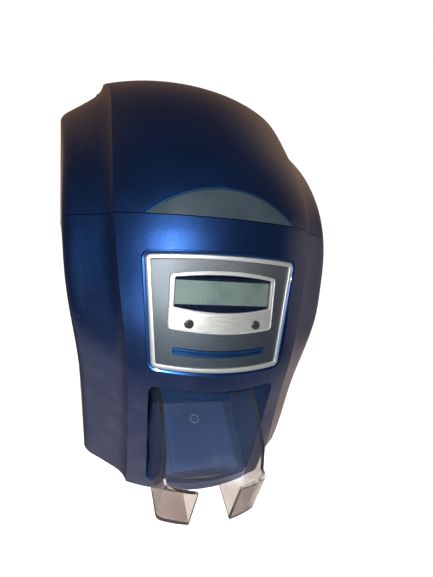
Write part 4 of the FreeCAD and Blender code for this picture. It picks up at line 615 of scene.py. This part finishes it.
# %% Assign finishes
BY_SLOT = {
    "navy_gloss": navy, "panel_blue": panel_blue, "slate_paint": slate, "blue_trim": highlight_blue_trim,
    "silver_trim": silver, "brushed_plate": plate, "window_tint": pane, "display_glass": display_body,
    "button_grey": button, "circuit_green": board, "black_moulding": black, "grey_moulding": grey,
    "smoked_clear": clear, "sheet_steel": zinc, "ground_steel": ground, "roller_rubber": roller,
    "tacky_rubber": tacky, "gear_plastic": gear_white, "motor_steel": motor_case, "supply_cover": sleeve,
    "head_metal": heat_sink, "ribbon_film": ribbon, "foot_rubber": foot_rubber,
}
for row in frame["record"]["subparts"]:
    for holder in frame["nodes"][row["node"]].material_slots:
        holder.material = BY_SLOT[row["material_slot"]]
for node, material in (("card_chute", chute_navy), ("slot_throat", slot_blue)):
    frame["nodes"][node].material_slots[0].material = material

# %% [markdown]
# ## Surfaces from numbers
# The fine pieces are surfaces that we work out as arrays: a grid of points, closed round one or both ways,
# is put into a mesh in one go. The volume that a grid encloses tells whether its faces point outwards, and
# if it is negative all of them are turned. Where a grid closes on a point, its doubled points are then
# merged.

# %% Mesh from a grid of points
MERGE_DISTANCE = 1e-7


def grid_faces(points, closed_across):
    """Four-sided faces of points[i, j], turned so that the volume they enclose is positive.

    The volume is the sum over the faces of middle times the cross product of the two diagonals."""
    rows, columns = points.shape[:2]
    index = np.arange(rows * columns).reshape(rows, columns)
    after = np.roll(index, -1, axis=0)
    if closed_across:
        quads = np.stack([index, after, np.roll(after, -1, axis=1), np.roll(index, -1, axis=1)], axis=-1)
    else:
        quads = np.stack([index[:, :-1], after[:, :-1], after[:, 1:], index[:, 1:]], axis=-1)
    quads = quads.reshape(-1, 4)
    corners = points.reshape(-1, 3)[quads]
    corners = corners - corners.mean(axis=(0, 1))
    spread = np.cross(corners[:, 2] - corners[:, 0], corners[:, 3] - corners[:, 1])
    return quads if (corners.mean(axis=1) * spread).sum() > 0 else quads[:, ::-1]


def set_out(name, mesh, body, material):
    """A smooth finished mesh as a piece on a body, with its material."""
    mesh.polygons.foreach_set("use_smooth", np.ones(len(mesh.polygons), bool))
    mesh.materials.clear()
    mesh.materials.append(material)
    piece = bpy.data.objects.new(name, mesh)
    bpy.context.scene.collection.objects.link(piece)
    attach(piece, body)
    print(name, len(mesh.polygons), "faces")
    return piece


def grid_piece(name, grids, body, material, closed_across=True):
    """A piece from grids of points[i, j]: i runs round a closed outline, and j along the profile."""
    starts = np.cumsum([0] + [grid.shape[0] * grid.shape[1] for grid in grids])
    flat = np.concatenate([grid.reshape(-1, 3) for grid in grids])
    quads = np.concatenate([grid_faces(grid, closed_across) + start for grid, start in zip(grids, starts)])
    mesh = bpy.data.meshes.new(name)
    mesh.from_pydata(flat.tolist(), [], quads.tolist())
    work = bmesh.new()
    work.from_mesh(mesh)
    bmesh.ops.remove_doubles(work, verts=work.verts, dist=MERGE_DISTANCE)
    work.to_mesh(mesh)
    work.free()
    return set_out(name, mesh, body, material)


def on_panel(across, up, out):
    """Places on the curved panel: steps along the tilted frame, less the cylinder's sag at that width."""
    sag = PANEL_RADIUS - np.sqrt(PANEL_RADIUS ** 2 - across ** 2)
    return (PANEL_MID + across[..., None] * np.array((1.0, 0.0, 0.0)) + up[..., None] * PANEL_UP
            + (out - sag)[..., None] * PANEL_OUT)


print("panel leans back", round(math.degrees(math.asin(PANEL_OUT[2]))), "degrees")

# %% [markdown]
# ## Outlines of the panel
# Bezel, surround and window share one kind of outline: four sides, of which the top and bottom are shallow
# arches, and corners rounded by a circle's arc. A corner's arc is a weighted blend of its two ends and its
# vertex. With the weight of a half's square root it is exactly a quarter circle where the sides meet
# squarely.

# %% Four-sided arched outline
CORNER_WEIGHT = math.sqrt(0.5)


def arched_outline(top_half, bottom_half, top, bottom, top_arch, bottom_arch, corner, steps=40, turn=10):
    """Points (across, up) round the outline: each side between its trimmed ends, then a corner arc."""
    def side(start, end, arch):
        """A straight run plus a parabola that is as high as the arch in its middle."""
        share = np.linspace(0.0, 1.0, steps)[:, None]
        lift = arch * 4 * share * (1 - share)
        return start + (end - start) * share + lift * np.array((0.0, 1.0))

    vertices = np.array([(-top_half, top), (top_half, top), (bottom_half, bottom), (-bottom_half, bottom)])
    arches = (top_arch, 0.0, -bottom_arch, 0.0)
    trimmed = []
    for k in range(4):
        line = side(vertices[k], vertices[(k + 1) % 4], arches[k])
        run = np.concatenate([[0.0], np.cumsum(np.linalg.norm(np.diff(line, axis=0), axis=1))])
        keep = np.linspace(corner, run[-1] - corner, steps)
        trimmed.append(np.stack([np.interp(keep, run, line[:, axis]) for axis in range(2)], axis=1))
    share = np.linspace(0.0, 1.0, turn + 2)[1:-1, None]
    weights = np.concatenate([(1 - share) ** 2, 2 * CORNER_WEIGHT * share * (1 - share), share ** 2], axis=1)
    weights /= weights.sum(axis=1, keepdims=True)
    pieces = []
    for k in range(4):
        ends = np.stack([trimmed[k][-1], vertices[(k + 1) % 4], trimmed[(k + 1) % 4][0]])
        pieces += [trimmed[k], weights @ ends]
    return np.concatenate(pieces)


BEZEL = arched_outline(top_half=0.0515, bottom_half=0.0440, top=0.0353, bottom=-0.0353,
                       top_arch=0.0025, bottom_arch=0.0028, corner=0.0030)
SURROUND = arched_outline(top_half=0.0363, bottom_half=0.0359, top=0.0243, bottom=-0.0100,
                          top_arch=0.0037, bottom_arch=0.0027, corner=0.0022)
WINDOW = arched_outline(top_half=0.0333, bottom_half=0.0332, top=0.0228, bottom=0.0039,
                        top_arch=0.0027, bottom_arch=0.0030, corner=0.0010)
print("outline points:", len(BEZEL))

# %% [markdown]
# ## Profiles and how they are carried
# A trim is a small section carried round an outline. The section is a list of (in, out) places: in is
# towards the outline's middle, and out is away from the panel. Two sections serve here, a rectangle with
# round corners and a circle.

# %% Sections carried round an outline
def inward(outline):
    """The unit direction that points into the outline at each of its points, square to its run."""
    run = np.roll(outline, -1, axis=0) - np.roll(outline, 1, axis=0)
    run /= np.linalg.norm(run, axis=1, keepdims=True)
    return np.stack([run[:, 1], -run[:, 0]], axis=1)


def carried(outline, profile):
    """A profile of (in, out) places carried round an outline on the panel: a grid of points."""
    flat = outline[:, None, :] + inward(outline)[:, None, :] * profile[None, :, :1]
    return on_panel(flat[..., 0], flat[..., 1], np.broadcast_to(profile[None, :, 1], flat.shape[:2]))


def rounded_loop(width, low, high, radius, steps=7):
    """A rectangle's outline with round corners, as (in, out) places: four quarter arcs joined."""
    angle = np.linspace(0.0, np.pi / 2, steps)
    centres = ((width - radius, high - radius), (radius, high - radius),
               (radius, low + radius), (width - radius, low + radius))
    arcs = [np.stack([x + radius * np.cos(angle + k * np.pi / 2),
                      y + radius * np.sin(angle + k * np.pi / 2)], axis=1)
            for k, (x, y) in enumerate(centres)]
    return np.concatenate(arcs)


def bead_loop(radius, shift, out, steps=14):
    """A small circle as (in, out) places."""
    angle = np.linspace(0.0, 2 * np.pi, steps, endpoint=False)
    return np.stack([shift + radius * np.cos(angle), out + radius * np.sin(angle)], axis=1)


print("sections ready")

# %% [markdown]
# ## The silver bezel
# On the real panel the bezel is a casting, three millimetres wide, with softly rounded edges that draw the
# two bright lines round the display plate. A square-edged ring with a bevel would do from afar, but its
# corners would pinch. So we carry a rounded rectangle along the outline, and it keeps the same section
# everywhere.

# %% Bezel ring
bezel_section = rounded_loop(width=0.0030, low=-0.0030, high=0.0004, radius=0.0009)
bezel = grid_piece("bezel_ring", [carried(BEZEL, bezel_section)], "root", silver)
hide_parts("panel_bezel")

# %% [markdown]
# ## The blue rim of the dish
# Between casing and bezel lies the dish's rim. It has a narrow rounded crest next to the casing and then
# slopes down towards the bezel, so it shines bright blue on the side that faces the lamp. It is a thin
# wedge carried round the bezel's outline, from its outer edge level with the casing to its inner edge in
# the dish.

# %% Sloped rim
RIM_WIDTH = 0.0023
RIM_FOOT = -0.0008
RIM_CREST = ((0.0, 0.0), (0.0001, 0.00018), (0.0003, 0.00026), (0.0005, 0.0002))
RIM_SLOPE_SHARE = 0.35
RIM_SLOPE_OUT = -0.0001
RIM_END_OUT = -0.00035
RIM_TO_BEZEL = 0.00005

crest = [(across - RIM_WIDTH, out) for across, out in RIM_CREST]
slope = [(-RIM_WIDTH * RIM_SLOPE_SHARE, RIM_SLOPE_OUT), (-RIM_TO_BEZEL, RIM_END_OUT)]
rim_section = np.array([(-RIM_WIDTH, RIM_FOOT), *crest, *slope, (-RIM_TO_BEZEL, RIM_FOOT)])
grid_piece("dish_rim", [carried(BEZEL, rim_section)], "root", panel_blue)

# %% [markdown]
# ## Beads of the surround
# The surround's outer edge and the window's edge are rolled over, which gives the pale lines round them.
# Each is a small round bead, mostly sunk in the plate, carried along its outline.

# %% Rolled beads
surround_section = bead_loop(radius=0.00055, shift=0.00045, out=-0.0004)
window_section = bead_loop(radius=0.0005, shift=-0.0003, out=-0.0004)
grid_piece("surround_bead", [carried(SURROUND, surround_section)], "root", silver)
grid_piece("window_bead", [carried(WINDOW, window_section)], "root", silver)

# %% [markdown]
# ## The liquid crystal
# The display's glass lies flat, nine millimetres behind the window. Its film fills the middle, and what
# shows of the dark module round it makes the navy bands above and below. A filled plate is one surface:
# from the middle of its face out to the edge, over a small round, and back to the middle of its rear.
# Scaling one outline by a share does it all.

# %% Film
def filled_plate(outline, out_front, out_back, roll, steps=5):
    """A flat plate inside an outline: shares of it from 0 to 1 and back, with a quarter arc at each edge."""
    angle = np.linspace(0.0, np.pi / 2, steps)
    edge = 1.0 - roll + roll * np.sin(angle)
    shares = np.concatenate([[0.0, 0.5], edge, edge[::-1], [0.5, 0.0]])
    drop = (out_front - out_back) / 2 * (1 - np.cos(angle))
    front, back = [out_front, out_front], [out_back, out_back]
    levels = np.concatenate([front, out_front - drop, (out_back + drop)[::-1], back])
    centre = outline.mean(axis=0)
    flat = centre + (outline - centre)[:, None, :] * shares[None, :, None]
    return (PANEL_MID + flat[..., :1] * np.array((1.0, 0.0, 0.0)) + flat[..., 1:] * PANEL_UP
            + np.broadcast_to(levels[None, :, None], flat.shape[:2] + (1,)) * PANEL_OUT)


FILM = arched_outline(top_half=0.0338, bottom_half=0.0338, top=0.0206, bottom=0.0050,
                      top_arch=0.0, bottom_arch=0.0, corner=0.0006)
film_plate = filled_plate(FILM, out_front=-0.0090, out_back=-0.0094, roll=0.01)
grid_piece("display_film", [film_plate], "root", display, closed_across=False)

# %% [markdown]
# ## The hand-feed slot
# A blue lip frames the slot through which a single card can be fed. It follows the slot's long level
# outline, bowed with the panel: a level line on a leaning cylinder rises on the panel where the cylinder
# sags. Its section is a rounded rectangle.

# %% Slot lip
SLOT_LEVEL = 0.1073
SLOT_HALF = 0.0318
SLOT_LIP_HALF = 0.0023

slot_up = (SLOT_LEVEL - PANEL_MID[2]) / PANEL_UP[2]
slot = arched_outline(top_half=SLOT_HALF, bottom_half=SLOT_HALF, top=SLOT_LIP_HALF, bottom=-SLOT_LIP_HALF,
                      top_arch=0.0, bottom_arch=0.0, corner=0.0019)
slot_sag = PANEL_RADIUS - np.sqrt(PANEL_RADIUS ** 2 - slot[:, 0] ** 2)
slot[:, 1] += slot_up + slot_sag * PANEL_OUT[2] / PANEL_UP[2]
lip_section = rounded_loop(width=0.0017, low=-0.0030, high=-0.0002, radius=0.0007)
grid_piece("slot_lip", [carried(slot, lip_section)], "root", slot_blue)

# %% [markdown]
# ## Button caps
# The two round buttons are dark glossy caps with a rolled edge and a slightly domed top, which catches one
# small highlight each. A cap is a profile turned round the panel's outward direction: up its side, over a
# quarter circle, and in to the centre along a shallow arch. Its size is read from the solid button that it
# covers.

# %% Button caps
CAP_OVERHANG = 0.00003
CAP_UNDER = -0.0005
CAP_RISE = 0.0002
CAP_ROLL = 0.0005
CAP_DOME = 0.0003
FACE_DEPTH = 0.00005
NEARLY_UPRIGHT = 0.9


def turned(profile, centre, axis, steps=48):
    """A profile of (radius, height) places turned round an axis through a centre: a grid of points."""
    axis = np.array(axis, float) / np.linalg.norm(axis)
    across = np.cross(axis, (0.0, 0.0, 1.0) if abs(axis[2]) < NEARLY_UPRIGHT else (1.0, 0.0, 0.0))
    across /= np.linalg.norm(across)
    other = np.cross(axis, across)
    angle = np.linspace(0.0, 2 * np.pi, steps, endpoint=False)
    ring = np.cos(angle)[:, None] * across + np.sin(angle)[:, None] * other
    return np.array(centre) + profile[None, :, :1] * ring[:, None, :] + profile[None, :, 1:] * axis


def cap_profile(radius, low, high, roll, dome, edge_steps=6, top_steps=8):
    """From the underside's centre out, up the side, over a quarter circle and in over a shallow dome."""
    angle = np.linspace(0.0, np.pi / 2, edge_steps)
    share = np.linspace(1.0, 0.0, top_steps)[1:]
    edge = np.stack([radius - roll + roll * np.cos(angle), high - roll + roll * np.sin(angle)], axis=1)
    top = np.stack([(radius - roll) * share, high + dome * (1 - share ** 2)], axis=1)
    return np.concatenate([[(0.0, low), (radius, low)], edge, top])


def node_points(node):
    """The places of a solid piece's points."""
    mesh = frame["nodes"][node].data
    flat = np.empty(len(mesh.vertices) * 3)
    mesh.vertices.foreach_get("co", flat)
    return flat.reshape(-1, 3)


for name, node in (("cap_left", "button_left"), ("cap_right", "button_right")):
    points = node_points(node)
    level = (points @ PANEL_OUT).max()
    face = points[points @ PANEL_OUT > level - FACE_DEPTH]
    face_up = face @ PANEL_UP
    across_mid = (face[:, 0].min() + face[:, 0].max()) / 2
    up_mid = (face_up.min() + face_up.max()) / 2
    radius = (face[:, 0].max() - face[:, 0].min()) / 2
    centre = np.array((across_mid, 0.0, 0.0)) + up_mid * PANEL_UP + level * PANEL_OUT
    profile = cap_profile(radius + CAP_OVERHANG, CAP_UNDER, CAP_RISE, CAP_ROLL, CAP_DOME)
    grid_piece(name, [turned(profile, centre, PANEL_OUT)], node, button, closed_across=False)

# %% [markdown]
# ## The tray with soft edges
# A moulded tray has no sharp edges, and its rolled rims are what one sees of the clear plastic. We take a
# copy of the solid tray, merge its loose corners, join the triangles of each flat face, and let a bevel
# roll the edges. The copy takes the solid's place. It casts no shadow, because the lamps would otherwise
# stop at it as at an opaque piece, and the chute behind would be black.

# %% Soft tray
TRAY_ROLL = 0.0007
TRAY_ROLL_STEPS = 3
SHARP_EDGE = math.radians(35.0)
FLAT_JOIN = math.radians(1.0)
CORNER_MERGE = 1e-6


def joined_copy(name, node):
    """A solid piece's mesh with its doubled points merged and its flat faces joined."""
    work = bmesh.new()
    work.from_mesh(frame["nodes"][node].data)
    bmesh.ops.remove_doubles(work, verts=work.verts, dist=CORNER_MERGE)
    bmesh.ops.dissolve_limit(work, angle_limit=FLAT_JOIN, verts=work.verts, edges=work.edges)
    bmesh.ops.recalc_face_normals(work, faces=work.faces)
    mesh = bpy.data.meshes.new(name)
    work.to_mesh(mesh)
    work.free()
    if "custom_normal" in mesh.attributes:
        mesh.attributes.remove(mesh.attributes["custom_normal"])
    return mesh


tray = set_out("soft_tray", joined_copy("soft_tray", "output_tray"), "tray", clear)
roll = tray.modifiers.new("rolled_edges", "BEVEL")
roll.width = TRAY_ROLL
roll.segments = TRAY_ROLL_STEPS
roll.limit_method = "ANGLE"
roll.angle_limit = SHARP_EDGE
roll.harden_normals = True
tray.visible_shadow = False
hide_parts("output_tray")

# %% [markdown]
# ## The ring mark
# A pale moulded ring marks the middle of the chute's slope. It is a small torus that lies in the groove of
# the solid chute: a circle turned round the slope's own upright.

# %% Ring mark
CHUTE_SLOPE = math.radians(14.7)
RING_CENTRE = (0.0032, -0.153, 0.0235)

ring_section = bead_loop(radius=0.00035, shift=0.0032, out=-0.00015, steps=12)
ring_up = (0.0, -math.sin(CHUTE_SLOPE), math.cos(CHUTE_SLOPE))
grid_piece("ring_mark", [turned(ring_section, RING_CENTRE, ring_up)], "root", ring_paint)

# %% [markdown]
# ## The ribbon's web
# Between the two spools the film runs down to the print head, level under it and up again. It is a strip a
# tenth of a millimetre thick. Its path, as (Y, Z) places, is rounded at each turn by blending neighbouring
# straights, and at both edges its two sides meet, so that the strip is closed.

# %% Ribbon web
WEB_HALF = 0.0295
WEB_HALF_THICK = 0.00005
WEB_PATH = np.array([(-0.0713, 0.1483), (-0.0483, 0.1097), (-0.0465, 0.10775), (-0.0315, 0.10775),
                     (-0.0297, 0.1096), (-0.0102, 0.1474)])


def smoothed(path, rounds=3):
    """Corner cutting: each straight gives the places at a quarter and three quarters, and the ends stay."""
    for _ in range(rounds):
        near = path[:-1] * 0.75 + path[1:] * 0.25
        far = path[:-1] * 0.25 + path[1:] * 0.75
        path = np.concatenate([path[:1], np.stack([near, far], axis=1).reshape(-1, 2), path[-1:]])
    return path


path = smoothed(WEB_PATH)
run = np.gradient(path, axis=0)
run /= np.linalg.norm(run, axis=1, keepdims=True)
square = np.stack([-run[:, 1], run[:, 0]], axis=1) * WEB_HALF_THICK
loop = np.concatenate([path + square, (path - square)[::-1]])
edge_loop = np.concatenate([path, path[::-1]])
web_across = np.array((-WEB_HALF, WEB_HALF_THICK - WEB_HALF, WEB_HALF - WEB_HALF_THICK, WEB_HALF))
sides = np.stack([edge_loop, loop, loop, edge_loop], axis=1)
web_points = np.concatenate(
    [np.broadcast_to(web_across[None, :, None], sides.shape[:2] + (1,)), sides], axis=2)
grid_piece("ribbon_web", [web_points], "root", ribbon, closed_across=False)

# %% [markdown]
# ## Screw heads
# Four cross-head screws hold the rear wall. A head is a shallow dome with a cross sunk into it: its height
# falls where a place lies near one of the two arms' middle lines and within their length.

# %% Screw heads
SCREW_RADIUS = 0.0030
SCREW_DOME = 0.0006
SCREW_DEEP = 0.0026
ARM_HALF, ARM_SLANT = 0.00045, 0.00015
ARM_REACH, ARM_END_SLANT = 0.0019, 0.0002
CROSS_DEEP = 0.0009


def screw_head(centre, steps=64, rings=18):
    """A polar grid: dome height less the cross's depth, closed behind by a flat back."""
    angle = np.linspace(0.0, 2 * np.pi, steps, endpoint=False)[:, None]
    reach = np.linspace(SCREW_RADIUS, 0.0, rings)[None, :]
    x, z = reach * np.cos(angle), reach * np.sin(angle)
    dome = SCREW_DOME * (1 - (reach / SCREW_RADIUS) ** 2) - SCREW_DOME
    arm = np.clip((ARM_HALF - np.minimum(abs(x), abs(z))) / ARM_SLANT, 0, 1)
    length = np.clip((ARM_REACH - np.maximum(abs(x), abs(z))) / ARM_END_SLANT, 0, 1)
    front = np.stack([x, dome - CROSS_DEEP * arm * length, z], axis=-1)
    back_ring = np.stack([x[:, :1], np.full_like(x[:, :1], -SCREW_DEEP), z[:, :1]], axis=-1)
    back_mid = np.broadcast_to(np.array((0.0, -SCREW_DEEP, 0.0)), back_ring.shape)
    return np.concatenate([back_mid, back_ring, front], axis=1) + np.array(centre)


screw_points = node_points("casing_screws")
screw_low, screw_high = screw_points.min(axis=0), screw_points.max(axis=0)
places = [(side * (screw_high[0] - SCREW_RADIUS), screw_high[1], z) for side in (-1, 1)
          for z in (screw_low[2] + SCREW_RADIUS, screw_high[2] - SCREW_RADIUS)]
heads = [screw_head(place) for place in places]
screws = grid_piece("screw_heads", heads, "root", ground, closed_across=False)
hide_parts("casing_screws")
